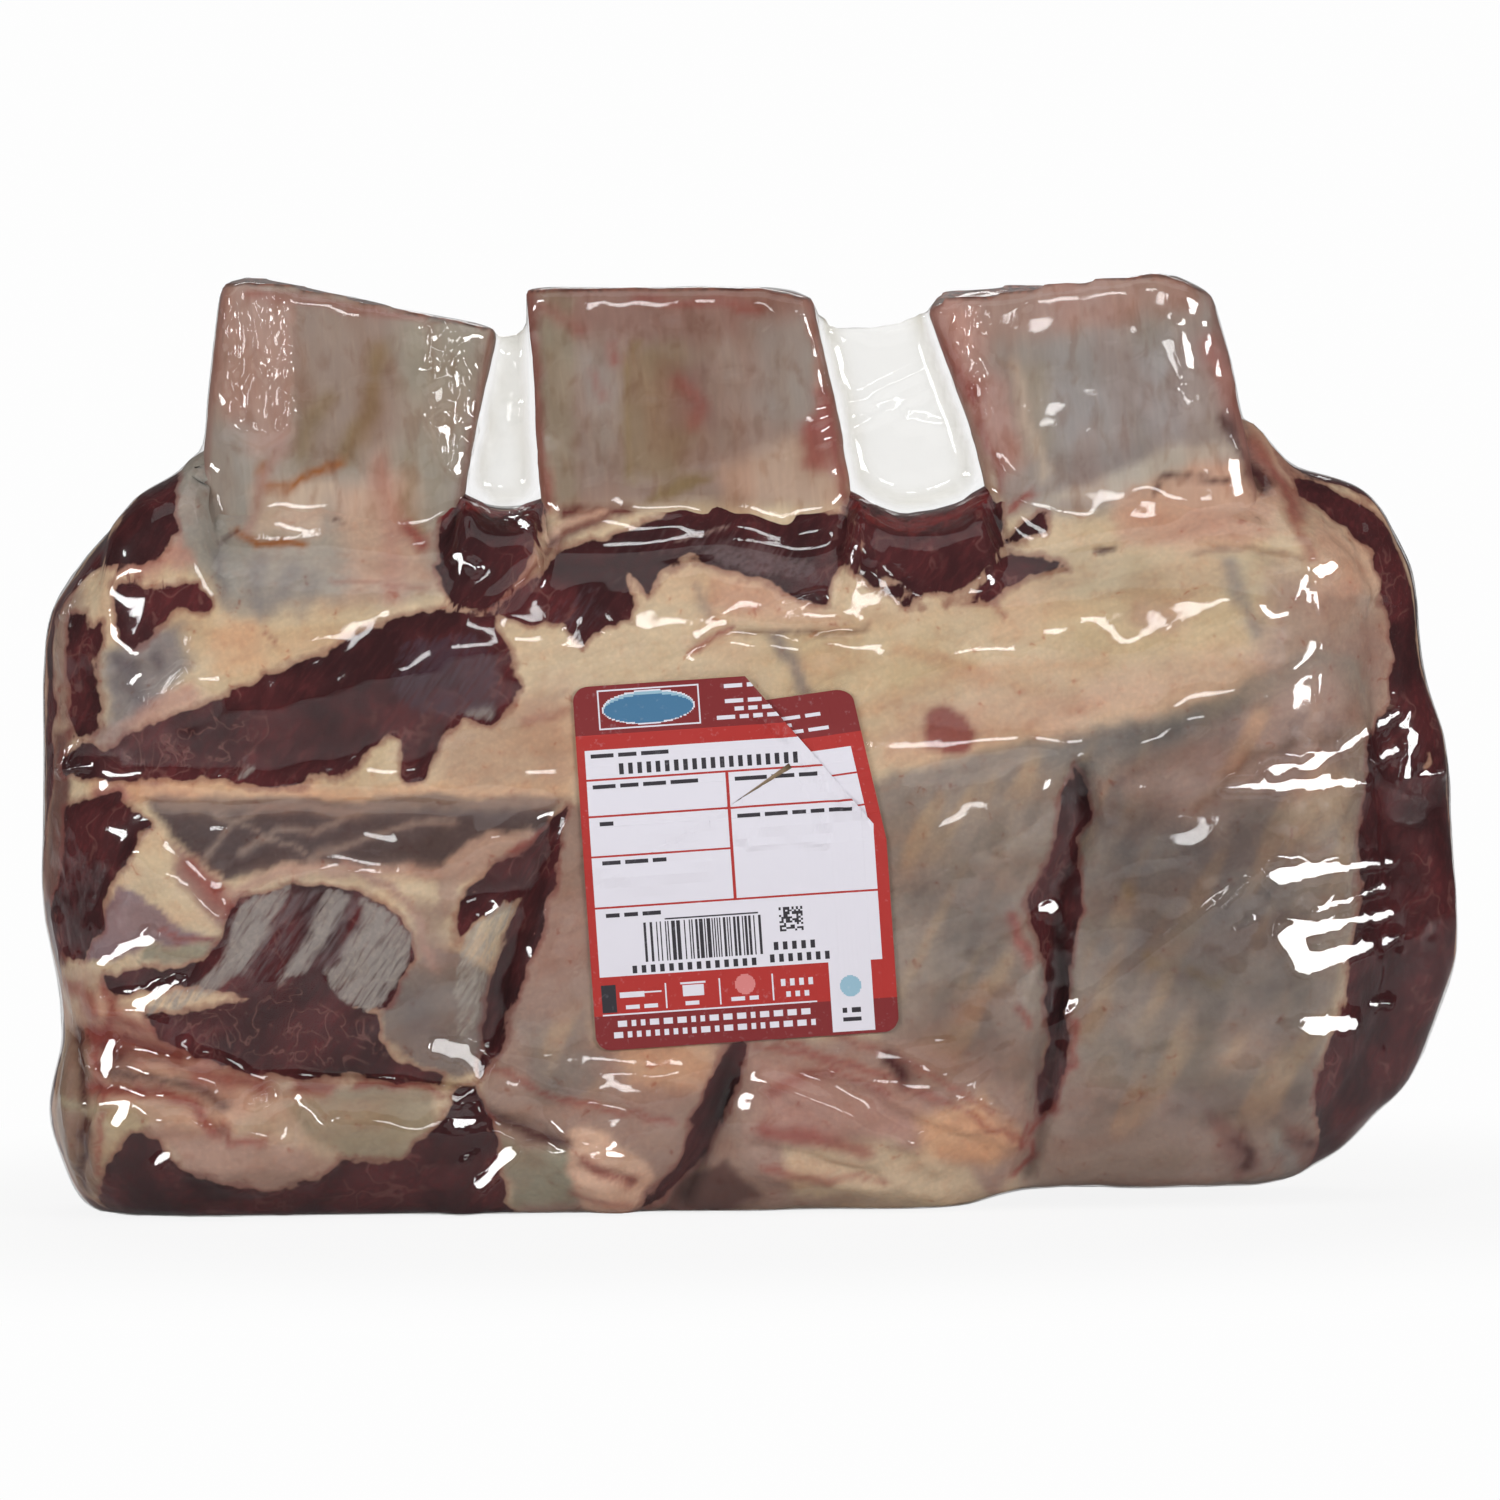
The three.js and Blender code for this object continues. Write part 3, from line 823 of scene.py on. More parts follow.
# %% Areas of colour
# Colour, how wide the soft border is, strength, outline.
AREAS = [
    # the left rib
    (BONE_GREY, 6, 1.0, [(-116, 190), (-46, 190), (-46, 140), (-62, 124), (-100, 120), (-118, 140)]),
    (BONE_PINK, 4, 0.8, [(-108, 188), (-91, 184), (-90, 152), (-98, 152), (-106, 164)]),
    (BONE_BROWN, 7, 0.8, [(-90, 183), (-68, 181), (-70, 156), (-82, 150), (-90, 152)]),
    (PALE_GREY, 7, 0.6, [(-112, 160), (-98, 158), (-97, 136), (-100, 122), (-112, 134)]),
    (GREEN_GREY, 7, 0.4, [(-66, 180), (-52, 176), (-60, 140), (-70, 136)]),
    (tint(196, 172, 152), 4, 0.8, [(-98, 146), (-82, 147), (-84, 136), (-98, 136)]),
    (PINK_FAT, 7, 0.7, [(-82, 146), (-66, 148), (-62, 126), (-78, 124)]),
    # the middle rib
    (BONE_BROWN, 6, 1.0, [(-45, 190), (20, 190), (22, 150), (14, 141), (-38, 140), (-44, 160)]),
    (tint(138, 104, 94), 8, 0.85, [(-42, 190), (18, 190), (12, 178), (-8, 172), (-40, 177)]),
    (GREEN_GREY, 3, 0.8, [(-40, 183), (-34, 182), (-33, 141), (-40, 141)]),
    (PALE_GREY, 5, 0.4, [(-33, 172), (-26, 172), (-25, 146), (-33, 144)]),
    (OLIVE, 5, 0.6, [(-22, 172), (-24, 160), (-22, 147), (-13, 145), (-9, 156), (-12, 172)]),
    (tint(126, 94, 88), 8, 0.7, [(-16, 168), (-7, 168), (-6, 157), (-15, 156)]),
    (PALE_GREY, 7, 0.6, [(1, 178), (14, 178), (14, 156), (3, 158)]),
    (tint(186, 158, 138), 5, 0.8, [(-4, 149), (10, 154), (20, 150), (20, 140), (-4, 142)]),
    (RED_STAIN, 3, 0.8, [(12, 157), (16, 158), (17, 148), (12, 148)]),
    (OLIVE, 1.6, 0.9, [(-21, 141), (-12, 143), (-5, 147), (-10, 147), (-17, 145)]),
    # the right rib
    (tint(154, 144, 138), 6, 1.0, [(30, 192), (94, 192), (104, 150), (98, 138), (52, 138)]),
    (BONE_PINK, 6, 0.8, [(32, 192), (94, 192), (92, 179), (74, 176), (50, 172), (40, 168)]),
    (RAW_PINK, 6, 0.7, [(36, 182), (46, 178), (56, 150), (50, 146), (42, 160)]),
    (tint(150, 144, 143), 9, 0.7, [(62, 172), (88, 172), (90, 152), (62, 152)]),
    (GREEN_GREY, 5, 0.5, [(53, 166), (60, 168), (60, 150), (55, 150)]),
    (tint(132, 121, 118), 6, 0.6, [(60, 150), (82, 153), (80, 146), (62, 143)]),
    (tint(186, 175, 162), 3, 0.8, [(57, 141), (70, 145), (86, 151), (99, 153), (99, 150), (72, 140)]),
    (PINK_FAT, 4, 0.9, [(74, 140), (90, 148), (101, 149), (106, 140), (100, 131), (74, 132)]),
    (tint(190, 152, 130), 5, 0.7, [(76, 143), (102, 143), (108, 134), (90, 133), (76, 136)]),
    # fat above the flap's edge
    (YELLOW_FAT, 8, 0.7, [(-106, 119), (-84, 122), (-76, 117), (-92, 109), (-106, 106)]),
    (ORANGE_FAT, 5, 0.6, [(-107, 118), (-97, 120), (-95, 111), (-106, 108)]),
    (tint(132, 124, 124), 4, 0.9, [(-128, 113), (-120, 117), (-112, 119), (-110, 110), (-118, 101),
                                   (-127, 97)]),
    (RAW_PINK, 3, 0.7, [(-120, 103), (-110, 107), (-107, 103), (-116, 99), (-128, 96)]),
    (RAW_PINK, 2, 0.8, [(-131, 131), (-118, 132), (-111, 135), (-109, 131), (-119, 129)]),
    (PINK_FAT, 9, 0.6, [(-62, 97), (-36, 106), (-33, 84), (-60, 84)]),
    (ORANGE_FAT, 3, 0.8, [(-131, 88), (-100, 88), (-84, 86), (-36, 87), (-36, 83), (-131, 83)]),
    (RAW_PINK, 2, 0.9, [(-130, 86), (-124, 87), (-121, 83), (-130, 83)]),
    (PINK_FAT, 4, 0.8, [(-7, 127), (4, 125), (15, 121), (17, 117), (4, 117), (-7, 120)]),
    (YELLOW_FAT, 10, 0.9, [(2, 116), (30, 117), (44, 108), (30, 98), (8, 102)]),
    (YELLOW_FAT, 10, 0.9, [(60, 126), (92, 131), (111, 127), (110, 110), (76, 108), (58, 112)]),
    (GREEN_FAT, 9, 0.6, [(52, 128), (100, 128), (104, 122), (60, 122)]),
    (PINK_FAT, 10, 0.7, [(28, 100), (66, 106), (104, 112), (112, 104), (96, 99), (60, 94), (28, 91)]),
    (tint(164, 138, 124), 9, 0.9, [(104, 128), (130, 124), (136, 96), (122, 84), (104, 88), (100, 104)]),
    (tint(150, 120, 110), 7, 0.6, [(112, 112), (130, 118), (134, 98), (122, 90), (108, 96)]),
    (tint(136, 72, 70), 2, 0.9, [(34, 96), (35.5, 99), (39, 100.5), (43, 99), (45, 95.5),
                                 (43.5, 92), (39, 91), (35, 92.5)]),
    (PINK_FAT, 3, 0.8, [(112, 138), (121, 137), (129, 130), (130, 122), (113, 121)]),
    (tint(176, 148, 124), 6, 0.7, [(-36, 86), (-36, 106), (-50, 100), (-60, 96), (-60, 86)]),
    (tint(150, 126, 118), 3, 0.9, [(-130, 98), (-123, 99), (-121, 96), (-127, 93), (-131, 95)]),
    # the flap: its veiled upper band, a painted shadow under its lip at the right, its membranes and its
    # fat
    (MEMBRANE, 4, 1.0, [(24, 86), (42, 91), (62, 94), (82, 97), (97, 102), (113, 112), (123, 108),
                        (125, 90), (122, 60), (113, 28), (112, -6), (54, -6), (50, 30), (26, 33)]),
    # a grey band of painted shadow under the lip of the flap, at the right
    (tint(116, 111, 108), 5, 0.7, [(56, 93), (80, 98), (100, 105), (98, 100), (82, 92), (58, 88)]),
    (tint(170, 141, 129), 8, 0.8, [(72, 84), (96, 98), (116, 108), (124, 98), (108, 82), (84, 78)]),
    (DARK_MEMBRANE, 12, 0.6, [(68, 78), (104, 84), (114, 56), (104, 34), (72, 42)]),
    (TAN, 7, 0.6, [(28, 40), (52, 46), (57, 24), (52, 4), (20, 20)]),
    (tint(142, 120, 110), 9, 0.9, [(62, 26), (109, 24), (112, 0), (54, 0)]),
    (PINK_MEMBRANE, 4, 1.0, [(-37, 82), (-30, 82), (-31, 35), (26, 36), (50, 30), (57, 17), (50, 3),
                             (-24, -2), (-46, -2), (-50, 14), (-54, 27), (-46, 52), (-40, 68)]),
    (ORANGE_FAT, 6, 0.7, [(-29, 42), (-6, 36), (-8, 26), (-24, 26)]),
    (MEMBRANE, 6, 0.8, [(-46, 38), (-33, 40), (-31, 26), (-43, 24)]),
    (RAW_PINK, 8, 0.6, [(0, 32), (28, 28), (40, 18), (24, 14), (2, 18)]),
    (ORANGE_FAT, 5, 0.9, [(32, 20), (46, 23), (53, 14), (48, 9), (34, 11)]),
    (CREAM, 4, 0.8, [(6, 14), (26, 15), (42, 9), (46, 4), (38, 1), (8, 4)]),
    (DARK_BLOOD, 3, 0.8, [(-14, 8), (-5, 11), (2, 4), (-4, 0), (-20, 0)]),
    (VEILED_MEAT, 2, 1.0, [(-119, 84), (-38, 83.5), (-41, 74), (-48, 70), (-58, 68), (-62, 69),
                           (-80, 71), (-96, 70), (-104, 67), (-112, 74)]),
    (tint(176, 149, 132), 1.6, 1.0, [(-63, 61), (-62, 68), (-57, 74), (-52, 77), (-44, 77.5),
                                     (-42, 76), (-49, 70), (-57, 66), (-60, 60)]),
    (tint(130, 117, 111), 1.6, 1.0, [(-74, 43), (-73, 36), (-66, 31), (-60, 28.5), (-55, 29),
                                     (-52, 36), (-51, 48), (-57, 53), (-62, 55), (-70, 48)]),
    (tint(112, 103, 104), 6, 0.6, [(-71, 46), (-64, 46), (-61, 36), (-68, 36)]),
    (tint(146, 122, 111), 6, 0.8, [(-66, 64), (-60, 62), (-58, 50), (-64, 48), (-69, 53)]),
    (CREAM, 1.4, 1.0, [(-119, 79), (-110, 72), (-103, 67), (-101, 62), (-103, 56), (-108, 57),
                       (-114, 60), (-120, 66), (-124, 68.5), (-122, 74)]),
    (tint(146, 112, 106), 2.6, 0.9, [(-115, 76), (-108, 70), (-102, 65), (-101, 60), (-105, 59),
                                     (-109, 64), (-114, 69)]),
    (LILAC, 1.4, 1.0, [(-125, 67), (-120, 65.5), (-114, 60), (-108, 57), (-103, 55.5), (-118, 55),
                       (-132, 51), (-129, 60)]),
    (GREEN_GREY, 1.2, 1.0, [(-119, 55), (-103, 55.5), (-105, 53), (-112, 51.5), (-121, 52.5)]),
    (tint(184, 158, 136), 3, 1.0, [(-140, 52), (-128, 49), (-122, 42), (-112, 35), (-100, 30), (-64, 28),
                     (-62, 14), (-84, 10), (-98, 4), (-108, 9), (-118, 9), (-131, 4), (-140, 12)]),
    (PINK_FAT, 4, 0.9, [(-132, 44), (-120, 42), (-112, 36), (-106, 29), (-97, 24), (-104, 18),
                        (-118, 20), (-130, 26)]),
    (BROWN, 3, 0.75, [(-144, 42), (-131, 38), (-130, 4), (-144, 4)]),
    (tint(108, 74, 70), 2, 0.95, [(-148, 46), (-136, 50), (-135, 98), (-148, 98)]),
    (tint(132, 104, 98), 4, 0.8, [(-148, 98), (-134, 98), (-132, 126), (-148, 128)]),
    (FOLD_BROWN, 3, 0.7, [(90, 20), (97, 16), (101, 8), (96, 4), (92, 12)]),
    (FOLD_BROWN, 3, 0.7, [(106, 17), (112, 15), (115, 8), (108, 5), (104, 10)]),
    (RAW_PINK, 2, 0.7, [(-131, 36), (-122, 36), (-120, 31), (-131, 30)]),
    (tint(152, 138, 116), 3, 0.9, [(-92, 24), (-75, 28), (-64, 25), (-62, 14), (-67, 12), (-80, 12),
                                   (-87, 16)]),
    (tint(170, 136, 122), 3, 0.9, [(-119, 19), (-95, 17), (-83, 11), (-82, 9), (-100, 5), (-112, 10)]),
    (tint(178, 160, 130), 3, 0.8, [(-129, 22), (-121, 24), (-120, 19), (-126, 8), (-130, 8)]),
    (GREEN_GREY, 3, 1.0, [(-50, 16), (-42, 14.5), (-36, 14), (-35, 3), (-47, 2)]),
    (tint(204, 168, 146), 2, 1.0, [(-38, 16), (-33, 18.5), (-27, 16), (-22, 12), (-20, 8),
                                   (-22, 1), (-33, 1), (-36.5, 8)]),
]
print(len(AREAS), "areas")

# %% Strokes of colour
# Colour, reach, strength, line.
STROKES = [
    # on the ribs
    (OLIVE, 2.2, 0.8, [(-72, 172), (-74, 162), (-79, 152)]),
    (OLIVE, 2.2, 0.6, [(-83, 163), (-87, 157), (-88, 151)]),
    (COPPER, 0.9, 1.0, [(-96, 150), (-95, 146), (-91, 145.5), (-80, 151)]),
    (COPPER, 0.9, 1.0, [(-101, 137), (-97, 134), (-88, 134)]),
    (DARK_BLOOD, 0.5, 0.6, [(-101, 137), (-104, 134)]),
    (BONE_PINK, 1.4, 0.8, [(-90.5, 182), (-90.5, 156), (-96, 146), (-99, 137)]),
    (SLATE, 1.4, 0.45, [(-104, 132), (-103, 123)]),
    (SLATE, 1.8, 0.45, [(-97, 130), (-96, 121)]),
    (SLATE, 1.8, 0.4, [(-90, 128), (-94, 121)]),
    (SLATE, 2.0, 0.3, [(-86, 127), (-88, 120)]),
    (RAW_PINK, 2.4, 0.6, [(-73, 150), (-70, 138), (-70, 124)]),
    (RED_STAIN, 1.6, 0.9, [(-67, 137), (-64, 133)]),
    (DARK_BLOOD, 0.5, 0.7, [(-81, 139), (-79.5, 138.5)]),
    (OLIVE, 1.0, 0.5, [(-66, 152), (-67, 142), (-64, 136)]),
    (RED_STAIN, 1.4, 0.7, [(-43, 184), (-42.5, 168), (-40.5, 150), (-39.5, 140)]),
    (RED_STAIN, 1.8, 0.5, [(-40, 181), (-33, 176)]),
    (RED_STAIN, 1.2, 0.5, [(-22, 182), (-8, 181), (4, 180)]),
    (RED_STAIN, 1.0, 0.4, [(-30, 168), (-28, 163)]),
    (RED_STAIN, 1.6, 0.45, [(-13, 165), (-8, 161), (-10, 157)]),
    (RED_STAIN, 1.0, 0.5, [(-98, 184), (-80, 181), (-62, 178)]),
    (RED_STAIN, 1.2, 0.6, [(-26, 173), (-25, 170)]),
    (OLIVE, 0.8, 0.7, [(-21, 174), (-24, 162), (-22, 146)]),
    (RAW_PINK, 1.0, 0.6, [(13, 182), (15, 165), (18, 152)]),
    (RED_STAIN, 1.6, 0.8, [(16, 163), (18, 150), (21, 140), (24, 133)]),
    (tint(98, 50, 46), 1.1, 1.0, [(-36, 139.5), (-30, 140.3), (-24, 139.8)]),
    (RED_STAIN, 2.4, 0.7, [(35, 177), (39, 172), (45, 162)]),
    (RED_STAIN, 1.0, 0.6, [(45, 162), (49, 152), (51, 143)]),
    (tint(196, 178, 160), 1.2, 0.6, [(54, 168), (56, 156), (59, 146)]),
    (tint(150, 96, 88), 2.6, 0.8, [(93, 172), (98, 159), (103, 148), (110, 138)]),
    (RED_STAIN, 0.9, 0.8, [(53, 139), (57, 142)]),
    (DARK_BLOOD, 0.5, 0.8, [(82, 142), (84, 145), (91, 144.5), (98, 143.5)]),
    (RED_STAIN, 1.3, 0.6, [(98, 160), (103, 150), (108, 140), (112, 129)]),
    (DARK_BLOOD, 1.2, 0.8, [(96, 158), (99, 150), (103, 143)]),
    (DARK_BLOOD, 1.7, 1.0, [(100, 146), (103, 143.5)]),
    (RAW_PINK, 2.2, 0.6, [(97, 166), (104, 154), (110, 145)]),
    (DARK_BLOOD, 0.7, 0.9, [(70, 131), (72.5, 131.5)]),
    (tint(156, 128, 108), 0.8, 0.8, [(88, 130.5), (98, 131.2), (110, 129)]),
    # on the fat
    (SPOT_GREY, 2.2, 0.7, [(-124, 111), (-122, 110)]),
    (SPOT_GREY, 2.0, 0.7, [(-117, 112.5), (-116, 111)]),
    (tint(96, 88, 92), 2.4, 0.6, [(-123, 107), (-121, 104)]),
    (RED_STAIN, 0.5, 0.5, [(-95, 117), (-93, 115)]),
    (RED_STAIN, 0.5, 0.4, [(-82, 127), (-70, 126), (-63, 125)]),
    (RED_STAIN, 1.0, 0.4, [(-44, 98), (-36, 100)]),
    (RED_STAIN, 0.7, 0.8, [(-11, 112.5), (-3, 116.5)]),
    (BROWN, 0.6, 0.7, [(-3, 116), (0, 115), (18, 115), (24, 116)]),
    (SLATE, 1.4, 0.7, [(6, 114), (10, 109), (12, 104)]),
    (SLATE, 1.2, 0.4, [(-10, 125), (-7, 119)]),
    (SLATE, 1.6, 0.55, [(95, 128), (98, 121), (101, 115)]),
    (RAW_PINK, 3.2, 0.5, [(79, 119), (84, 117)]),
    (STRAND_FAT, 1.6, 0.6, [(30, 112), (46, 107), (70, 109)]),
    (STRAND_FAT, 1.4, 0.5, [(22, 100), (40, 106), (58, 104)]),
    (RED_STAIN, 0.8, 0.5, [(47, 122), (51, 118)]),
    (GREEN_GREY, 1.0, 0.9, [(-53, 122), (-44, 126), (-38, 134), (-30, 138)]),
    (tint(110, 56, 50), 1.6, 0.9, [(-51, 121), (-45, 124), (-40, 131), (-36, 136), (-28, 139)]),
    (PINK_FAT, 0.8, 0.8, [(-47, 124), (-41, 131), (-37, 137), (-28, 140)]),
    (PALE_GREY, 0.9, 0.8, [(20.5, 140), (23, 136), (24, 130), (33, 124)]),
    (OLIVE, 1.0, 0.6, [(32, 124), (42, 128), (50, 133)]),
    # on the flap
    (RED_STAIN, 1.8, 0.7, [(-111, 71), (-106, 66), (-102, 62)]),
    (RED_STAIN, 0.7, 0.7, [(-116, 58), (-109, 56), (-103, 55.5)]),
    (tint(180, 148, 132), 1.5, 1.0, [(-102, 64.5), (-96, 68.5), (-85, 70), (-74, 70), (-62, 68.5)]),
    (tint(166, 132, 120), 1.1, 0.9, [(-80, 72), (-71, 66), (-66, 60), (-62, 50)]),
    (NET, 0.7, 0.8, [(-108, 71), (-104, 78), (-97, 82), (-90, 84)]),
    (NET, 0.7, 0.8, [(-100, 73), (-93, 78), (-86, 77), (-80, 80)]),
    (NET, 0.8, 0.8, [(-87, 72), (-78, 76), (-69, 78), (-58, 79)]),
    (NET, 0.6, 0.7, [(-106, 82), (-96, 77), (-88, 73)]),
    (TAN, 1.6, 0.8, [(-116, 83.5), (-80, 82), (-38, 83)]),
    (RED_STAIN, 0.8, 0.9, [(-47, 73), (-42, 76.5)]),
    (BROWN, 1.2, 0.6, [(88, 80), (100, 90), (118, 94)]),
    (tint(142, 134, 126), 1.3, 0.5, [(66, 90), (72, 86), (74, 80)]),
    (OLIVE, 1.1, 0.5, [(74, 65), (75, 63)]),
    (OLIVE, 1.3, 0.5, [(78, 51), (80, 49)]),
    (OLIVE, 1.3, 0.5, [(87, 47), (92, 45)]),
    (tint(150, 72, 68), 1.3, 0.7, [(52, 59), (53, 54), (55, 50)]),
    (RED_STAIN, 0.9, 0.7, [(54, 41), (55, 38)]),
    (RED_STAIN, 1.0, 0.7, [(64, 38), (63, 30), (60, 26), (60, 20)]),
    (RED_STAIN, 0.7, 0.9, [(58, 19), (55, 15), (56, 11), (52, 7)]),
    (RED_STAIN, 0.6, 0.8, [(54, 17), (53, 12)]),
    (DARK_BLOOD, 1.3, 0.8, [(95, 13), (98, 11), (97.5, 8)]),
    (DARK_BLOOD, 1.3, 0.8, [(111, 13), (114, 11), (113, 8)]),
    (PALE_GREY, 1.6, 0.6, [(104, 14), (107, 10), (107, 7)]),
    (RED_STAIN, 0.7, 0.6, [(-52, 30), (-35, 23), (-15, 19)]),
    (DARK_BLOOD, 1.5, 0.9, [(-53, 21), (-45, 18), (-37, 15)]),
    (RED_STAIN, 0.7, 0.6, [(-2, 38), (20, 30), (40, 22), (54, 13)]),
    (RED_STAIN, 0.8, 0.6, [(1, 34), (14, 31), (26, 24)]),
    (RED_STAIN, 0.8, 0.5, [(14, 37), (30, 31), (48, 20)]),
    (RED_STAIN, 1.3, 0.6, [(3, 24), (10, 27), (16, 28)]),
    (RED_STAIN, 1.8, 0.75, [(2, 17), (12, 16), (22, 12)]),
    (RED_STAIN, 0.8, 0.6, [(2, 10), (14, 7), (26, 6)]),
    (DARK_BLOOD, 1.9, 1.0, [(27.5, 31), (30, 28)]),
    (RED_STAIN, 0.9, 0.8, [(-34, 11), (-28, 9), (-24, 7.5)]),
    (RED_STAIN, 0.9, 0.5, [(-36, 5), (-30, 3), (-24, 2)]),
    (DARK_BLOOD, 2.0, 0.9, [(-128, 35), (-125, 33)]),
    (RED_STAIN, 2.6, 0.9, [(-131, 37), (-122, 36), (-114, 33)]),
    (RED_STAIN, 1.4, 0.8, [(-128, 47), (-126, 41), (-129, 36)]),
    (RED_STAIN, 1.2, 0.7, [(-124, 40), (-116, 38), (-108, 33)]),
    (DARK_BLOOD, 1.3, 0.8, [(-129, 30.5), (-119, 29), (-110, 27.5), (-104, 24)]),
    (RED_STAIN, 1.4, 0.9, [(-131, 27), (-119, 26), (-110, 24), (-106, 18)]),
    (RED_STAIN, 2.4, 0.8, [(-110, 30), (-104, 28.5), (-97, 27)]),
    (RED_STAIN, 1.6, 0.8, [(-90, 27.5), (-84, 27)]),
    (RED_STAIN, 0.9, 0.8, [(-78, 27), (-68, 27.5), (-62, 25)]),
    (RED_STAIN, 1.0, 0.7, [(-104, 20), (-103, 16), (-96, 17)]),
    (RED_STAIN, 1.4, 0.7, [(-138, 46), (-132, 45), (-131, 41)]),
    (TAN, 0.9, 0.8, [(-137, 37), (-135.5, 20), (-138, 8)]),
    (DARK_BLOOD, 0.9, 0.9, [(-134, 37), (-132.5, 20), (-134, 6)]),
    (RED_STAIN, 0.9, 0.7, [(-130.5, 36), (-128.5, 22), (-130, 10)]),
    (GREEN_FAT, 1.0, 0.8, [(-139, 24), (-132, 22), (-128, 23)]),
]


def layers_at(areas, strokes, x, z):
    """The shade and the share at every x, z of each area and then of each stroke."""
    for shade, border, strength, outline in areas:
        yield shade, strength * smooth(inside_by(x, z, outline) / border + 0.5)
    for shade, reach, strength, line in strokes:
        yield shade, strength * bell(to_line(x, z, line) / reach)


def painted(x, z):
    """The colour of bone, fat, membrane and stains at every x, z of the front."""
    colour = np.tile(CREAM, (len(x), 1))
    for shade, share in layers_at(AREAS, STROKES, x, z):
        colour = blend(colour, shade, share[:, None])
    return colour


print(len(STROKES), "strokes")

# %% [markdown]
# Over some of the dark meat lies a see-through layer: the pale, feathered stripes of connective tissue
# at the lower left, the thin skin that makes the end of the long muscle purple, and the bright red of
# meat that still had air, along the gaps. The palest stripe, beside the forked slit, is partly a
# painted highlight. These veils are painted apart, together with how dense they are, so that the
# material can lay them over the meat and fray them along the grain.

# %% Veils over the meat
BLOOMED_RED = tint(112, 40, 40)
PALE_VEIN = tint(140, 110, 100)
CROWN_VEIL = tint(86, 67, 73)

# Colour, how wide the soft border is, density, outline.
VEIL_AREAS = [
    (tint(108, 94, 96), 4.0, 0.65, [(-101, 64), (-90, 66.5), (-76, 66), (-70, 60), (-80, 50),
                                   (-100, 45), (-106, 55)]),
    (VEIL_GREY, 2.0, 0.8, [(-101, 63), (-95, 66), (-90, 66.5), (-94, 58), (-99, 52), (-103, 47),
                           (-112, 42), (-122, 41), (-120, 45), (-110, 47.5), (-104, 54)]),
    (VEIL_GREY, 2.0, 0.8, [(-84, 66), (-79, 65), (-83, 56), (-88, 49), (-94, 46), (-92, 50),
                           (-87, 57)]),
    (VEIL_GREY, 2.2, 0.85, [(-76, 66), (-71, 61), (-66, 56), (-68, 49), (-73, 43), (-77, 41.5),
                            (-82, 44), (-84, 49), (-80, 54), (-77, 60)]),
    # a pale stripe of tissue beside the forked slit, partly a painted highlight band
    (tint(156, 149, 140), 2.0, 0.75, [(-57, 57), (-52, 62), (-47, 64), (-46, 62), (-49, 57),
                                      (-52, 48), (-54, 38), (-57, 34), (-59, 40), (-59, 50)]),
    (tint(72, 53, 62), 6, 0.8, [(-70, 116), (-54, 118), (-49, 112), (-46, 104), (-50, 99),
                                (-58, 98), (-66, 98), (-72, 104)]),
    (CROWN_VEIL, 5, 0.7, [(-10, 133), (4, 132), (15, 128), (17, 122), (8, 126), (-6, 128)]),
    (CROWN_VEIL, 4, 0.6, [(-46, 120), (-30, 126), (-26, 118), (-36, 114)]),
    (tint(112, 90, 92), 4, 0.5, [(-118, 92), (-96, 92), (-90, 88), (-100, 87), (-122, 88)]),
    (tint(108, 84, 84), 5, 0.5, [(-34, 134), (-12, 139), (8, 136), (16, 128), (8, 124), (-10, 130),
                                 (-28, 122)]),
    (tint(104, 78, 78), 5, 0.5, [(119, 90), (125, 92), (124, 60), (118, 40), (117, 60)]),
]

# Colour, reach, density, line.
VEIL_STROKES = [
    (BLOOMED_RED, 2.6, 0.85, [(-60, 139), (-57, 142), (-50, 140.5), (-42, 143)]),
    (BLOOMED_RED, 2.6, 0.85, [(20, 143), (25, 138), (33, 135.5), (42, 138), (50, 143)]),
    (PALE_VEIN, 0.5, 0.7, [(-101, 43), (-97, 37), (-95, 33), (-91, 34)]),
    (PALE_VEIN, 0.5, 0.6, [(-99, 41), (-93, 46), (-88, 47)]),
    (PALE_VEIN, 0.4, 0.6, [(-110, 36), (-106, 34)]),
    (PALE_VEIN, 0.4, 0.5, [(-87, 36), (-85, 34), (-78, 38)]),
    (tint(150, 70, 66), 1.2, 0.6, [(-75, 29.5), (-68, 29), (-63, 28)]),
    (tint(150, 138, 134), 0.5, 0.5, [(-96, 97), (-97, 93), (-100, 91)]),
    (tint(150, 138, 134), 0.8, 0.5, [(-122, 94), (-120, 93)]),
    (VEIL_GREY, 0.7, 0.8, [(-101, 88.5), (-98, 90)]),
    (VEIL_GREY, 1.4, 0.7, [(-55, 99.5), (-51, 100)]),
    (tint(150, 110, 104), 2.0, 0.5, [(15, 133), (18, 132)]),
    (tint(160, 128, 118), 0.5, 0.6, [(-14, 134), (-8, 135), (-3, 136)]),
]


def veil(x, z):
    """The veils' colour at every x, z and, in a fourth column, how dense they are."""
    colour = np.tile(VEIL_GREY, (len(x), 1))
    density = np.zeros(len(x))
    for shade, share in layers_at(VEIL_AREAS, VEIL_STROKES, x, z):
        whole = share + density * (1 - share)
        colour = blend(colour, shade, (share / np.maximum(whole, TINY))[:, None])
        density = whole
    return np.column_stack([colour, density])


print(len(VEIL_AREAS) + len(VEIL_STROKES), "veils")

# %% [markdown]
# The photograph shows only the front, so the rest is built as such a cut is: behind the ribs lie
# layers of muscle with thin seams of fat between them, and the outer side is a cap of fat, worn
# through to the meat in places. The layers meet the front's own map round the edges of the slab.

# %% Layers of the sides and the back
# Depth and half width of the seams of fat, in mm.
SEAMS = [(-12.0, 1.6), (4.0, 1.1), (20.0, 1.5)]
# Height, length in mm and seed of the waves.
LAYER_WAVES = [(5, 38, 11), (1.5, 9, 12)]
WEAR_WAVES = [(7, 42, 13)]
CAP_DEPTH = 29.0
CAP_COVER = 3.5


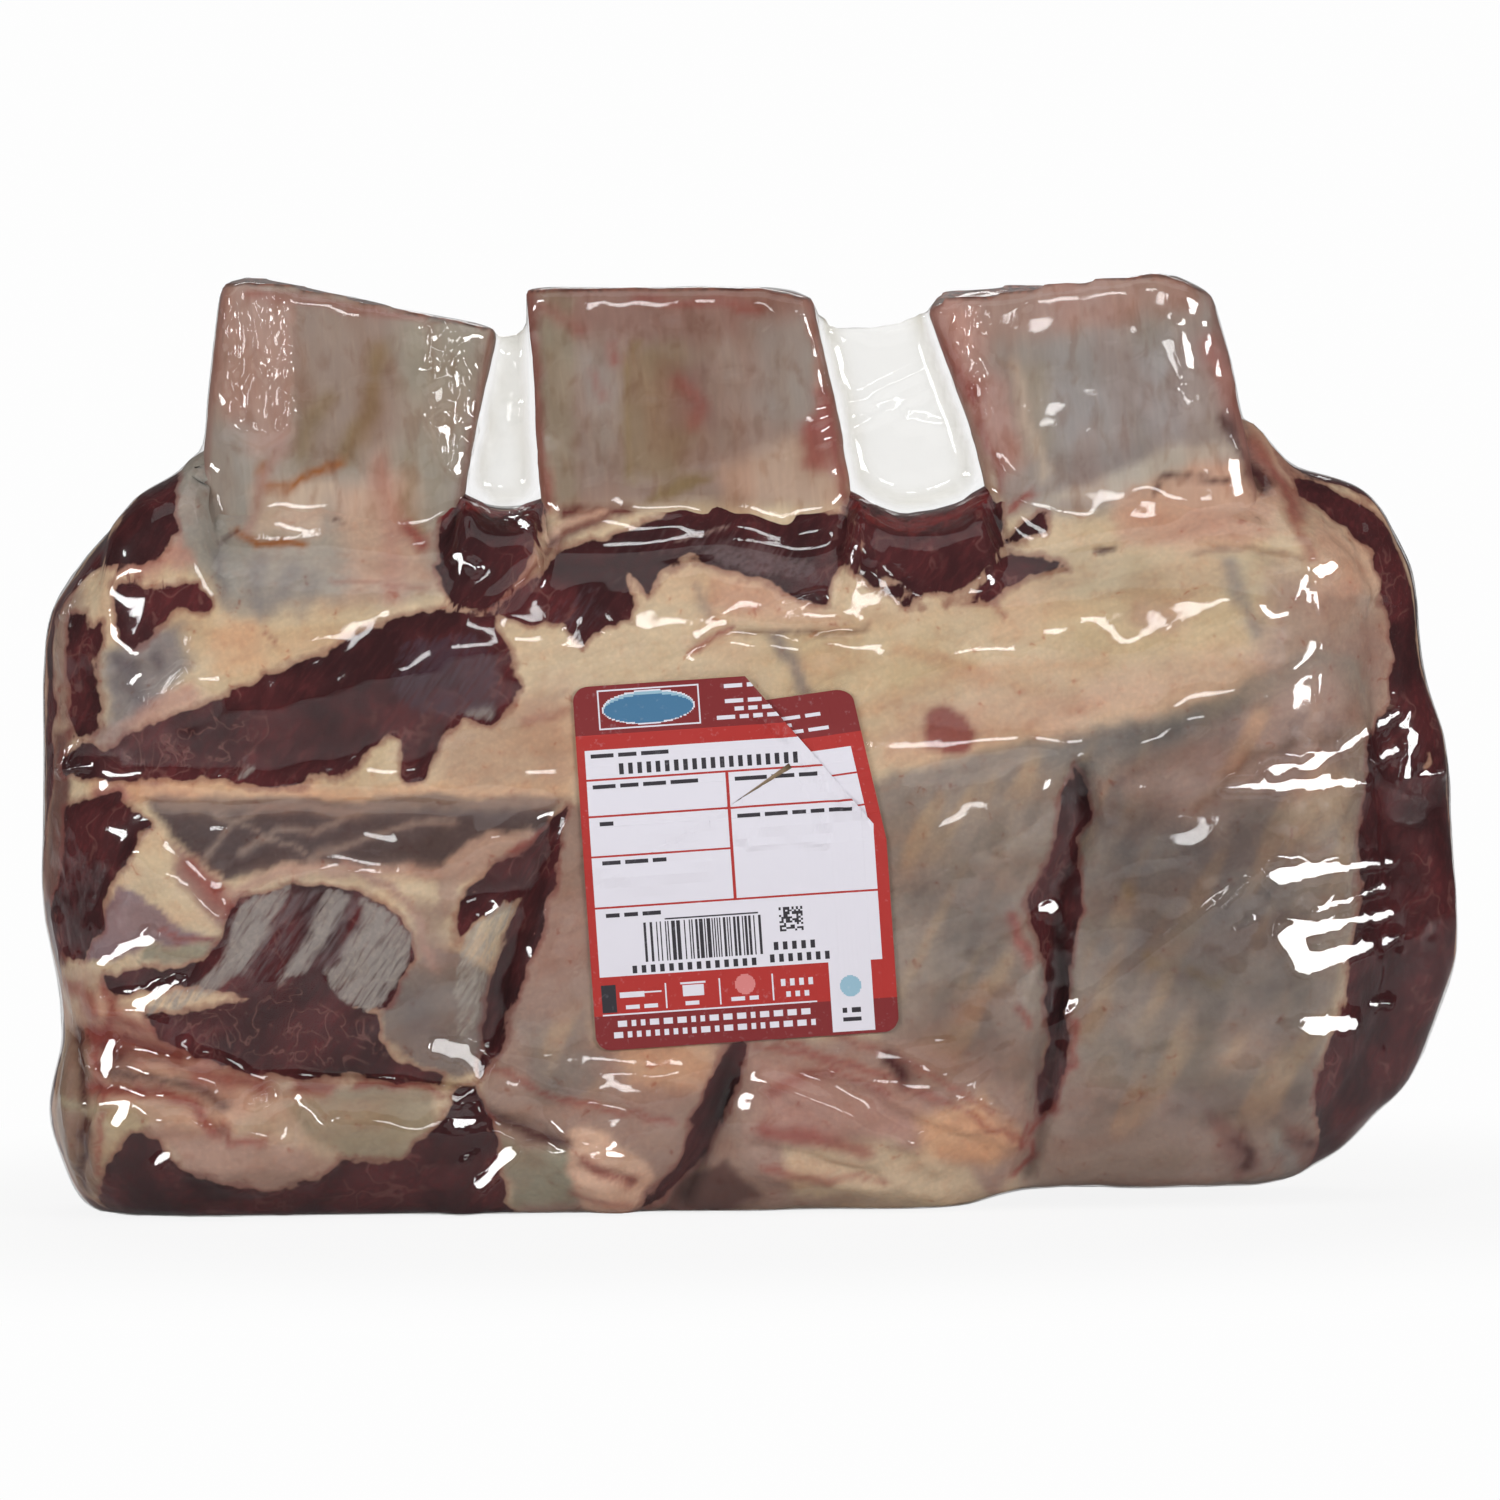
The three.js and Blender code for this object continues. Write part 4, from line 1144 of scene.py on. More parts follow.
def layer_map(points):
    """How far inside muscle a point of the sides, top or back lies, in mm."""
    y = points[:, 1] + waves(points, LAYER_WAVES)
    seam = np.full(len(points), np.inf)
    for depth, width in SEAMS:
        seam = np.minimum(seam, np.abs(y - depth) - width)
    cap = CAP_DEPTH - y
    worn = waves(points, WEAR_WAVES) - CAP_COVER
    return np.minimum(seam, np.maximum(cap, worn))


print(len(SEAMS), "seams of fat between the layers")

# %% [markdown]
# No tissue is of one colour. Noise tones the painted colours: pink, tan and white drift through the
# fat along its grain, and the membranes let what lies below them through as soft dark and ochre
# clouds. A tone multiplies the colour, so that it keeps the painting below it.

# %% Tones of fat and membrane
# The grain's angle from the vertical.
FAT_GRAIN = 1.45
BONE_GRAIN = -0.1
MEMBRANE_GRAIN = 0.5
FAT_DRAWN = 0.35

# Tone, strength, how much of the surface, contrast, size in mm, seed, drawn out along the grain.
FAT_TONES = [
    ((0.96, 0.83, 0.79), 0.75, 0.3, 1.4, 9, 15, True),
    ((1.10, 1.10, 1.08), 0.5, 0.3, 1.5, 4, 16, True),
    ((0.88, 0.84, 0.79), 0.5, 0.0, 1.6, 6, 23, True),
    ((0.84, 0.82, 0.77), 0.65, 0.2, 1.5, 16, 17, False),
]

# Tone, strength, how much of the surface, contrast, size in mm, octaves, seed, how drawn out.
MEMBRANE_TONES = [
    ((0.60, 0.62, 0.66), 0.75, 0.4, 1.3, 17, 3, 18, 0.6),
    ((0.80, 0.81, 0.84), 0.8, -0.1, 2.2, 5, 3, 24, 0.6),
    ((1.40, 1.25, 1.02), 0.8, 0.0, 1.6, 6, 2, 19, 0.22),
]
PANEL_BORDER = 7.0
MEMBRANE_PANELS = [
    [(28, 88), (60, 92), (64, 60), (60, 20), (40, 30), (29, 38)],
    [(62, 92), (98, 102), (122, 100), (120, 60), (110, 18), (62, 14), (64, 50)],
    [(-46, 40), (-31, 42), (-29, 24), (-43, 22)],
]


def toned(colour, tone, share):
    """The colour times a tone, by share."""
    return colour * blend(1.0, np.array(tone), share[:, None])


def drawn_out(points, angle, share):
    """The points with all lengths along a direction of the front shortened to a share.

    A noise of such points is drawn out along that direction. The angle is from the vertical.
    """
    along = np.array([math.sin(angle), 0.0, math.cos(angle)])
    return points - np.outer(points @ along, along) * (1 - share)


def mottled_fat(ground, points, angle):
    drawn = drawn_out(points, angle, FAT_DRAWN)
    for tone, strength, level, contrast, size, seed, along in FAT_TONES:
        drift = ripple(drawn if along else points, size, seed=seed)
        ground = toned(ground, tone, strength * smooth(level + contrast * drift))
    return ground


def mottled_membrane(ground, points, x, z):
    panel = smooth(inside_any(x, z, MEMBRANE_PANELS) / PANEL_BORDER + 0.4)
    for tone, strength, level, contrast, size, octaves, seed, drawn in MEMBRANE_TONES:
        cloud = ripple(drawn_out(points, MEMBRANE_GRAIN, drawn), size, octaves, seed)
        ground = toned(ground, tone, strength * (panel * smooth(level + contrast * cloud)))
    return ground


print(len(FAT_TONES) + len(MEMBRANE_TONES), "tones")

# %% [markdown]
# The painting is stored on the mesh as attributes of its vertices, which the materials read. The
# map's straight outlines are bent on the way, as tissue bends. Where the front turns into the sides,
# the map of the front passes into the layers.

# %% Colour the meat
# Height, length in mm and seed of the waves that bend the map along x and z.
BEND_X = [(1.1, 11, 7), (0.7, 3.5, 8)]
BEND_Z = [(1.1, 11, 9), (0.7, 3.5, 10)]
BACK_WAVES = [(1, 24, 14)]
FRONT_BORDER_WAVES = [(3, 16, 6)]
FRONT_DEPTH = -22.0
FRONT_FADE = 9.0
RED_CONTRAST = 0.9
NET_BORDER = 4.0


def set_values(piece, name, values):
    """Stores numbers, or colours of three or four columns, as an attribute of the vertices."""
    if values.ndim == 1:
        piece.data.attributes.new(name, "FLOAT", "POINT").data.foreach_set("value", values)
        return
    if values.shape[1] == 3:
        values = np.column_stack([values, np.ones(len(values))])
    attribute = piece.data.attributes.new(name, "FLOAT_COLOR", "POINT")
    attribute.data.foreach_set("color", np.clip(values, 0, 1).ravel())


def on_map(points):
    """The x and z at which each point reads the map."""
    return points[:, 0] + waves(points, BEND_X), points[:, 2] + waves(points, BEND_Z)


def colour_meat(piece):
    points = places(piece)
    x, z = on_map(points)
    depth = points[:, 1] + waves(points, FRONT_BORDER_WAVES)
    front = 1 - rising(depth, FRONT_DEPTH, FRONT_FADE)
    muscle = blend(layer_map(points), muscle_map(x, z), front)
    ground = mottled_membrane(painted(x, z), points, x, z)
    behind = blend(CREAM, PINK_FAT, smooth(waves(points, BACK_WAVES) + 0.5)[:, None])
    ground = mottled_fat(blend(behind, ground, front[:, None]), points, FAT_GRAIN)
    over = veil(x, z)
    over[:, 3] *= front
    redness = RED_CONTRAST * ripple(points, 13, octaves=4, seed=20)
    netted = smooth(inside_any(x, z, NETTED) / NET_BORDER + 0.3)
    set_values(piece, "muscle", muscle)
    set_values(piece, "redness", smooth(redness + 0.5))
    set_values(piece, "netted", netted * front)
    set_values(piece, "ground", ground)
    set_values(piece, "veil", over)
    print("muscle shows on", round(100 * float(np.mean(muscle > 0))), "% of the skin")

# %% [markdown]
# Raw beef in a vacuum pack is dark: without air it turns from red to purple brown. Its cut faces are
# streaked along the grain and crossed by hair-thin pale veins. Fat is matt and mottled, with a few
# capillaries. The flap's membrane lets bluish and ochre spots of what lies under it through.
# One material holds all three, because they pass into one another on the same surface.

# %% Meat and fat
MEAT_DARK = tint(52, 23, 25)
MEAT_RED = tint(80, 35, 37)
MARBLING = tint(140, 96, 88)
RIM_RED = tint(120, 58, 54)
FIBRE_PALE = (1.4, 1.28, 1.25)
PINKER = (0.92, 0.76, 0.72)
PALER = (1.2, 1.18, 1.14)
DARKER = (0.82, 0.82, 0.84)
CAPILLARY = (0.78, 0.48, 0.44)
FIBRE_LEAN = 0.6
STRAND_LEAN = 1.15
BORDER_FRAY = 2.0


def flesh_colour(r, coarse, fine, lines):
    """Dark red meat with its fibres, its pale veins and flecks."""
    redness = r.attribute("redness")
    flesh = r.mix(redness, MEAT_DARK, MEAT_RED)
    fibres = r.noise(1.1, detail=3, distortion=0.4, place=r.grain(4, FIBRE_LEAN))
    flesh = r.tone(r.ramp(fibres, 0.46, 0.66), flesh, FIBRE_PALE)
    veins = r.math("MULTIPLY", lines, r.ramp(redness, 0.4, 1.0))
    net = r.math("MULTIPLY", r.lines(5.5, width=0.024), r.attribute("netted"))
    flecks = r.math("MULTIPLY", r.ramp(fine, 0.7, 0.76), r.ramp(coarse, 0.5, 0.6))
    for marks, strength in [(veins, 0.3), (net, 0.4), (flecks, 0.6)]:
        flesh = r.mix(r.math("MULTIPLY", marks, strength), flesh, MARBLING)
    return flesh


def fat_colour(r, coarse, fine, lines):
    """The painted ground with pink and pale mottling, darker strands and capillaries."""
    fat = r.attribute("ground", "Color")
    strands = r.noise(1.5, detail=3, distortion=0.3, place=r.grain(5, STRAND_LEAN))
    capillaries = r.math("MULTIPLY", lines, r.ramp(coarse, 0.6, 0.7))
    for marks, strength, tone in [
            (r.ramp(coarse, 0.45, 0.75), 0.45, PINKER), (r.ramp(fine, 0.4, 0.72), 0.5, PALER),
            (r.ramp(strands, 0.48, 0.68), 0.35, DARKER), (capillaries, 0.7, CAPILLARY)]:
        fat = r.tone(r.math("MULTIPLY", marks, strength), fat, tone)
    return fat


def veiled(r, colour, fine):
    """The colour under the veils, which are frayed along the grain where they are thin."""
    streaks = r.noise(0.9, detail=3, distortion=0.3, place=r.grain(7, FIBRE_LEAN))
    density = r.attribute("veil", "Alpha")
    density = r.math("MULTIPLY", density, r.ramp(r.math("ADD", streaks, density), 1.0, 1.45))
    over = r.tone(r.ramp(fine, 0.4, 0.7), r.attribute("veil", "Color"), PALER)
    return r.mix(density, colour, over)


def meat_material():
    r = Recipe("beef_and_fat")
    coarse = r.noise(2.6, detail=3)
    fine = r.noise(1.0, detail=2)
    lines = r.lines(7, width=0.03, distortion=0.3)
    fray = r.math("MULTIPLY", r.math("SUBTRACT", coarse, 0.5), BORDER_FRAY)
    depth = r.math("ADD", r.attribute("muscle"), fray)
    near_rim = r.math("MULTIPLY", r.ramp(depth, -1.6, -0.1), 0.6)
    colour = r.mix(near_rim, fat_colour(r, coarse, fine, lines), RIM_RED)
    colour = r.mix(r.ramp(depth, -0.25, 0.25), colour, flesh_colour(r, coarse, fine, lines))
    return r.skin(veiled(r, colour, fine), 0.5, 0.06, r.bump(coarse, 0.35))


beef_and_fat = meat_material()

# %% [markdown]
# The ribs keep the shape of their solids: each copy is remeshed finely and smoothed a little, which
# takes the facets away. The front and back of a rib wear its skin, grey pink with stains. Its flanks
# are redder, like torn meat. The sawn end shows the dark red bone inside, paler where it is flat.

# %% Ribs
RIB_VOXEL = 1.25
RIB_SMOOTHING = 5
RIB_WAVES = [(0.3, 12, 21), (0.12, 4, 22)]
# The left rib's outer corner is higher than its solid. The rise grows upwards and to the left.
LEFT_CORNER = {"rise": 3.2, "from z": 140, "over z": 40, "from x": 52, "over x": 45}
# How far a normal has to point up, sideways or to the front or back, as start and length.
SAWN_SLOPE = (0.55, 0.3)
FLANK_SLOPE = (0.45, 0.4)
UPRIGHT_SLOPE = (0.1, 0.3)
SAWN_DEPTH = 20
SAWN_FADE = 8
FLANK_STRENGTH = 0.5
RIB_FLANK = tint(146, 98, 88)
MARROW_DARK = tint(70, 34, 30)
MARROW_RED = tint(136, 80, 66)
BLOTCH = (0.86, 0.78, 0.74)
STREAK = (1.08, 1.08, 1.07)


def make_rib(node):
    piece = joined(node.replace("_bone", ""), [merged_copy(node)])
    remesh(piece, RIB_VOXEL)
    relax(piece, RIB_SMOOTHING)
    points = places(piece)
    outward = normals(piece)
    points += outward * waves(points, RIB_WAVES)[:, None]
    upward = rising(points[:, 2], LEFT_CORNER["from z"], LEFT_CORNER["over z"])
    leftward = rising(-points[:, 0], LEFT_CORNER["from x"], LEFT_CORNER["over x"])
    points[:, 2] += LEFT_CORNER["rise"] * upward * leftward
    move_to(piece, points)
    x, z = on_map(points)
    end = rising(points[:, 2], points[:, 2].max() - SAWN_DEPTH, SAWN_FADE)
    flank = FLANK_STRENGTH * rising(np.abs(outward[:, 0]), *FLANK_SLOPE)
    colour = mottled_fat(painted(x, z), points, BONE_GRAIN)
    set_values(piece, "ground", blend(colour, RIB_FLANK, flank[:, None]))
    set_values(piece, "sawn", end * rising(outward[:, 2], *SAWN_SLOPE))
    set_values(piece, "upright", rising(np.abs(outward[:, 1]), *UPRIGHT_SLOPE))
    print(piece.name, len(piece.data.polygons), "faces")
    return piece


def bone_material():
    r = Recipe("rib_bone")
    blotches = r.noise(3.2, detail=3, distortion=0.4, place=r.grain(2))
    streaks = r.noise(0.9, detail=2, place=r.grain(8, BONE_GRAIN))
    skin = r.tone(r.ramp(blotches, 0.48, 0.7), r.attribute("ground", "Color"), BLOTCH)
    skin = r.tone(r.ramp(streaks, 0.4, 0.75), skin, STREAK)
    marrow = r.mix(r.ramp(r.noise(1.4, detail=3), 0.4, 0.6), MARROW_DARK, MARROW_RED)
    level = r.math("SUBTRACT", 1.0, r.attribute("upright"))
    marrow = r.mix(r.math("MULTIPLY", level, 0.2), marrow, PALE_BONE)
    return r.skin(r.mix(r.attribute("sawn"), skin, marrow), 0.45, 0.1, r.bump(blotches, 0.3))


bone = bone_material()
ribs = [make_rib(node) for node in RIB_NAMES]
for rib in ribs:
    rib.data.materials.append(bone)

# %% [markdown]
# A bag that is drawn tight folds into small flat strips. The photograph shows them white, because
# each happens to lean so that it mirrors a light: a comb of four teeth at the right, an arrow above
# it, crinkled patches on the left rib and some thirty small ones. Here each strip is a middle line
# with its half width, or with one at either end, and strips that lie in one plane form a list. The
# lean is worked out from where the camera and the lights are. The light nearest to the film's own
# lean is taken, so that the fold stays shallow.

# %% Folds that catch the light
FACETS = [
    [([(106.5, 53.5), (109.5, 48.5)], 2.4, 2.6),
     ([(107, 54.6), (127.5, 58.2)], 2.0, 1.0),
     ([(110, 48.4), (128.5, 53.4)], 2.5, 1.2)],
    [([(94, 83.8), (106, 84.6)], 0.5, 2.4), ([(106, 84.7), (123, 84.2)], 2.2, 0.9)],
    ([(104.5, 66), (128, 68.4)], 2.3, 0.8),
    ([(112, 58.8), (126, 63.6)], 0.7, 1.0),
    ([(104, 87), (111, 88), (117, 90.5), (123, 94.5), (129, 97.6)], 1.3, 1.2),
    ([(111, 36), (119, 36.5)], 1.9),
    ([(124, 39.5), (127, 40)], 0.9),
    ([(125, 88.5), (129, 90.5)], 1.2),
    ([(131.5, 85), (133, 93)], 1.0),
    ([(135, 85), (139, 85.5)], 1.1),
    ([(94, 61), (98, 65)], 1.0),
    ([(96, 56), (99, 57.5)], 0.9),
    ([(114, 126), (116, 127)], 1.6),
    ([(58, 60), (60, 60.5)], 1.2),
    ([(-97, 180), (-96, 160)], 6.0),
    ([(-60, 176), (-58, 160)], 3.4),
    ([(-60, 158), (-57, 150)], 2.6),
    ([(-55, 172), (-54, 160), (-57, 148)], 1.1),
    ([(46, 184), (44, 172), (48, 158)], 1.0),
    ([(84, 172), (88, 160)], 0.9),
    ([(-119, 104), (-115, 106), (-112, 109)], 1.6),
    ([(-135.5, 121), (-133, 126), (-129, 130)], 1.1),
    ([(-137, 89.5), (-131, 90.5)], 0.8),
    ([(-136.5, 91), (-135, 94.5)], 0.8),
    ([(-128.5, 51.5), (-124, 54.5), (-118.5, 56)], 1.3),
    ([(-121, 44), (-117, 46), (-113.5, 48)], 1.2),
    ([(-128.5, 29), (-127, 36)], 1.2),
    ([(-98, 24), (-95, 26)], 1.3),
    ([(-90, 25), (-85.5, 20)], 0.9),
    ([(-62, 34), (-57, 33.5), (-54, 30)], 1.8),
    ([(-58.5, 24), (-55.5, 25)], 0.8),
    ([(-58.5, 19), (-55.5, 19.5)], 0.9),
    ([(-57.5, 12), (-56, 13)], 0.7),
    ([(-54, 7), (-50, 11), (-48, 13)], 1.4),
    ([(-118.5, 12), (-116, 13.5)], 1.0),
    ([(-126, 20), (-124, 24)], 0.9),
    ([(8, 121.5), (15, 123)], 0.9),
    ([(-10, 115.5), (-5, 117.5)], 0.9),
    ([(-57, 131), (-54, 129)], 1.0),
    ([(-47, 140), (-43, 137)], 0.9),
]
print(len(FACETS), "folds that catch the light")

# %% Lean of the folds
FACET_EDGE = 0.8
FACET_SPREAD = 0.35
FACET_ROOM = 0.06
FACET_WANDER = 0.8
FACET_MARGIN = 1.0
STRIP_LIGHTS = ["left_strip", "right_strip", "front_strip"]


def strips_of(facet):
    """A fold is one strip, or a list of strips that lie in one plane."""
    return facet if isinstance(facet, list) else [facet]


def folded_faces(bm):
    """The faces of the front where a fold will be."""
    faces = front_faces(bm)
    middles = np.array([face.calc_center_median() for face in faces]) / MM
    inside = np.zeros(len(faces), bool)
    for line, *halves in [strip for facet in FACETS for strip in strips_of(facet)]:
        inside |= to_line(middles[:, 0], middles[:, 2], line) < max(halves) + FACET_MARGIN
    return [face for face, chosen in zip(faces, inside) if chosen]


def mirror_leans(place):
    """How far the film must lean along x and z to show each strip of light from this place."""
    towards = (camera.location - place).normalized()
    leans = []
    for name in STRIP_LIGHTS:
        half = (bpy.data.objects[name].location - place).normalized() + towards
        leans.append((-half.x / half.y, -half.z / half.y))
    return leans


def lay_facet(points, front, bend, facet):
    """Turns a fold of the film, whose borders are bent a little, so that it mirrors a light."""
    x, y, z = points.T
    within = np.full(len(points), -np.inf)
    for line, *halves in strips_of(facet):
        run = np.clip((x - line[0][0]) / (line[-1][0] - line[0][0]), 0, 1)
        within = np.maximum(within, blend(halves[0], halves[-1], run) - to_line(x, z, line))
    share = front * smooth((within + FACET_WANDER * bend + FACET_SPREAD) / FACET_EDGE + 0.5)
    inside = share > 0.5
    middle = points[inside].mean(axis=0)
    own_lean = np.polyfit(x[inside], y[inside], 1)[0]
    leans = mirror_leans(Vector(middle) * MM)
    lean_x, lean_z = min(leans, key=lambda lean: abs(lean[0] - own_lean))
    lean_x = np.clip(own_lean, lean_x - FACET_ROOM, lean_x + FACET_ROOM)
    flat = lean_x * (x - middle[0]) + lean_z * (z - middle[2])
    flat += np.min(y[inside] - flat[inside])
    points[:, 1] += share * (flat - y)
    return share


print("strips of light:", STRIP_LIGHTS)

# %% [markdown]
# The bag. Under vacuum the film lies on everything, but it is stiffer than the tissue: it spans slits
# and hollows, and between two ribs its front and back sheets meet. A remeshed copy of meat and bones,
# with a thick filling in each gap, is smoothed again and again, and each time every point that has
# sunk into the contents is put back just outside them. In the gaps the two sheets are drawn together
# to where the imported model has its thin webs. Last, film that stands only a little off is drawn tight.

# %% Shrink the bag round its contents
FILM_VOXEL = 2.1
FILM_STANDOFF = 0.3
FILM_ROUNDS = 7
WEB_NODES = ["film_web_left", "film_web_right"]
WEB_FILLING = 5.5
WEB_THICKNESS = 0.12
WEB_RIM = 2.6
WEB_CORNER = 2.5
WEB_SIDE_FADE = 3.0
WEB_FOOT = 4.0
WEB_FOOT_FADE = 6.0
LAY_REACH = 10.0
HUG_REACH = 2.0
PUSH_REACH = 12.0
# Rounds of smoothing, and the gentler strength of some.
SHRINK_SMOOTHING = 6
WEB_SMOOTHING = 3
HUG_SMOOTHING = 5
GENTLE = 0.4


def web_filling(node):
    """A copy of a web, thick enough for the remesh to keep it."""
    bm = merged_copy(node)
    low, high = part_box(node)
    thickness = (high.y - low.y) / MM
    bmesh.ops.translate(bm, vec=(0, -WEB_DEPTH * MM, 0), verts=bm.verts)
    bmesh.ops.scale(bm, vec=(1, WEB_FILLING / thickness, 1), verts=bm.verts)
    bmesh.ops.translate(bm, vec=(0, WEB_DEPTH * MM, 0), verts=bm.verts)
    return bm


def settle_outside(piece, tree, standoff):
    points = places(piece)
    distance, outward = signed_distance(points, tree)
    push = np.clip(standoff - distance, 0, None)
    push[np.abs(distance) > PUSH_REACH] = 0
    move_to(piece, points + outward * push[:, None])


def close_webs(piece, tree):
    """Lays the film on the meat or draws its two sheets together, whichever is nearer.

    Tells where the sheets meet, and where the rims of these places are.
    """
    points = places(piece)
    between = np.zeros(len(points))
    for node in WEB_NODES:
        low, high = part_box(node)
        beside = np.minimum(points[:, 0] - low.x / MM, high.x / MM - points[:, 0])
        above = points[:, 2] - low.z / MM + WEB_FOOT
        gap = smooth(beside / WEB_SIDE_FADE + 1) * smooth(above / WEB_FOOT_FADE)
        between = np.maximum(between, gap)
    distance, outward = signed_distance(points, tree)
    depth = points[:, 1] - WEB_DEPTH
    share = between * smooth((distance - np.abs(depth)) / WEB_CORNER + 0.5)
    lay = between * (1 - share / np.maximum(between, TINY)) * (distance < LAY_REACH)
    points += outward * ((FILM_STANDOFF - distance) * lay)[:, None]
    points[:, 1] += share * (WEB_DEPTH + depth * WEB_THICKNESS - points[:, 1])
    move_to(piece, points)
    return share, share * bell((distance - WEB_RIM) / WEB_RIM)


def hug(piece, tree):
    """Draws the film tight where it stands only a little off its contents."""
    points = places(piece)
    distance, outward = signed_distance(points, tree)
    loose = distance - FILM_STANDOFF
    held = HUG_REACH / (HUG_REACH + np.maximum(loose, 0))
    move_to(piece, points - outward * (loose * held)[:, None])


contents = [copy_of(piece) for piece in [meat, *ribs]]
content_tree = tree_of(contents)
film = joined("film", contents + [web_filling(node) for node in WEB_NODES])
remesh(film, FILM_VOXEL)
for _ in range(FILM_ROUNDS):
    relax(film, SHRINK_SMOOTHING)
    settle_outside(film, content_tree, FILM_STANDOFF)
refine(film)
refine(film, folded_faces)
web_share, web_rim = close_webs(film, content_tree)
relax(film, WEB_SMOOTHING, GENTLE)
hug(film, content_tree)
relax(film, HUG_SMOOTHING)
settle_outside(film, content_tree, FILM_STANDOFF / 2)
relax(film, 1, GENTLE)
print("film:", len(film.data.polygons), "faces")

# %% [markdown]
# Film creases where it has no length to spare and wrinkles where it has too much. The long creases
# of the front are ridges along lines. The small crumples are ridged noise, drawn out along the
# pull of the vacuum, and strongest round the corners of the slab, where a flat bag has to gather.

# %% Creases and wrinkles of the film
# Line, reach, rise.
FILM_CREASES = [
    ([(102, 68), (74, 47)], 0.9, 0.5),
    ([(74, 47), (60, 37), (35, 25)], 0.9, 0.25),
    ([(109, 142), (112, 133), (114, 112), (113, 98)], 0.9, 0.7),
    ([(-60, 35), (-20, 28), (40, 34)], 0.8, 0.4),
    ([(-60, 20), (-36, 12), (-10, 10)], 0.9, 0.6),
    ([(50, 30), (30, 12), (20, 0)], 0.9, 0.5),
    ([(-54, 5), (-45, 14)], 0.8, 0.7),
    ([(-55, 13), (-46, 6)], 0.8, 0.7),
    ([(-138, 60), (-132, 30), (-134, 6)], 1.2, 0.8),
    ([(-57, 145), (-53, 158), (-57, 171)], 1.6, 1.0),
    ([(-95, 184), (-92, 172), (-95, 158)], 1.2, 0.9),
    ([(-42, 145), (-42, 180)], 0.7, 0.6),
    ([(11.5, 181), (14, 172), (16, 162)], 0.8, 0.7),
    ([(47, 184), (43, 175), (44, 170), (43, 165), (47, 157), (49, 150), (52, 146)], 1.1, 1.0),
    ([(86, 176), (87, 171), (88, 166)], 0.8, 0.6),
    ([(56, 180), (60, 184)], 0.9, 0.6),
    ([(17, 162), (25, 160.5), (33, 157), (45, 154.5)], 0.7, 0.5),
    ([(14, 157), (36, 167)], 0.7, 0.5),
    ([(15, 153), (27, 158), (40, 165)], 0.7, 0.4),
    ([(15, 177), (25, 174.5), (32, 175), (36, 178)], 0.9, 0.8),
    ([(-50, 161), (-42, 161)], 0.6, 0.3),
]
# Outlines of places where the bag is crinkled.
CRINKLES = [
    [(-103, 184), (-90.5, 184), (-90.5, 154), (-103, 156)],
    [(-66, 180), (-51, 176), (-50, 142), (-62, 144)],
    [(38, 186), (50, 186), (50, 160), (38, 160)],
    [(88, 186), (96, 176), (104, 150), (96, 150)],
    [(-142, 130), (-130, 130), (-133, 84), (-128, 60), (-131, 40), (-128, 0), (-142, 0)],
    [(112, 150), (128, 140), (134, 118), (127, 120), (118, 134)],
]
CRUMPLE_HEIGHT = 0.1
CORNER_CRUMPLE = 0.3
CRINKLE_HEIGHT = 0.45
CRINKLE_BORDER = 3.0
RIDGE_SHARPNESS = 2.6
# Noise of points that are pressed together along x or z is drawn out that way.
ALONG_X = np.array([0.35, 1.0, 1.0])
ALONG_Z = np.array([1.0, 1.0, 0.3])
CORNERS = {"from x": 118, "over x": 24, "middle z": 74, "half height": 90}
MIDDLE = {"half width": 60, "fade": 60}
FOLD_BEND_LENGTH = 4
PATCH_CONTRAST = 1.4
PATCH_LENGTH = 26


def crumple(points, size, seed):
    """Sharp ridges and wide valleys from 0 to 1, like film that was pressed together."""
    valleys = np.abs(ripple(points, size, octaves=2, seed=seed)) * RIDGE_SHARPNESS
    return 1 - np.clip(valleys, 0, 1)


def wrinkle_film(piece):
    points = places(piece)
    outward = normals(piece)
    x, z = points[:, 0], points[:, 2]
    front = on_front(outward, 0.1, 0.4)
    bend = ripple(points, FOLD_BEND_LENGTH, seed=35)
    folded = np.max([lay_facet(points, front, bend, facet) for facet in FACETS], axis=0)
    height = np.zeros(len(points))
    for line, reach, rise in FILM_CREASES:
        height += rise * bell(to_line(x, z, line) / reach) * front
    corner = rising(np.abs(x), CORNERS["from x"], CORNERS["over x"])
    corner *= smooth(0.3 + np.abs(z - CORNERS["middle z"]) / CORNERS["half height"])
    to_side = rising(np.abs(x), MIDDLE["half width"], MIDDLE["fade"])
    sideways = crumple(points * ALONG_X, size=9, seed=31)
    upwards = crumple(points * ALONG_Z, size=8, seed=32)
    patchy = smooth(0.5 + PATCH_CONTRAST * ripple(points, PATCH_LENGTH, seed=33))
    strength = (CRUMPLE_HEIGHT + CORNER_CRUMPLE * corner) * patchy
    height += strength * blend(sideways, upwards, to_side)
    height *= 1 - folded
    crinkled = smooth(inside_any(x, z, CRINKLES) / CRINKLE_BORDER + 0.4)
    height += CRINKLE_HEIGHT * crinkled * crumple(points * ALONG_Z, size=2.5, seed=34) * front
    height *= 1 - under_label(x, z) * front
    move_to(piece, points + outward * height[:, None])


wrinkle_film(film)
stand_on_floor(film, 0.0)
set_values(film, "web", web_share)
set_values(film, "rim", web_rim)
print(len(FILM_CREASES), "creases,", len(CRINKLES), "crinkled places")

# %% [markdown]
# With the bag in place, the slits are cut into the meat below it. The meat is coloured last, so that
# the colours follow its final shape.

# %% Cut and colour the meat
cut_slits(meat)
colour_meat(meat)
meat.data.materials.append(beef_and_fat)

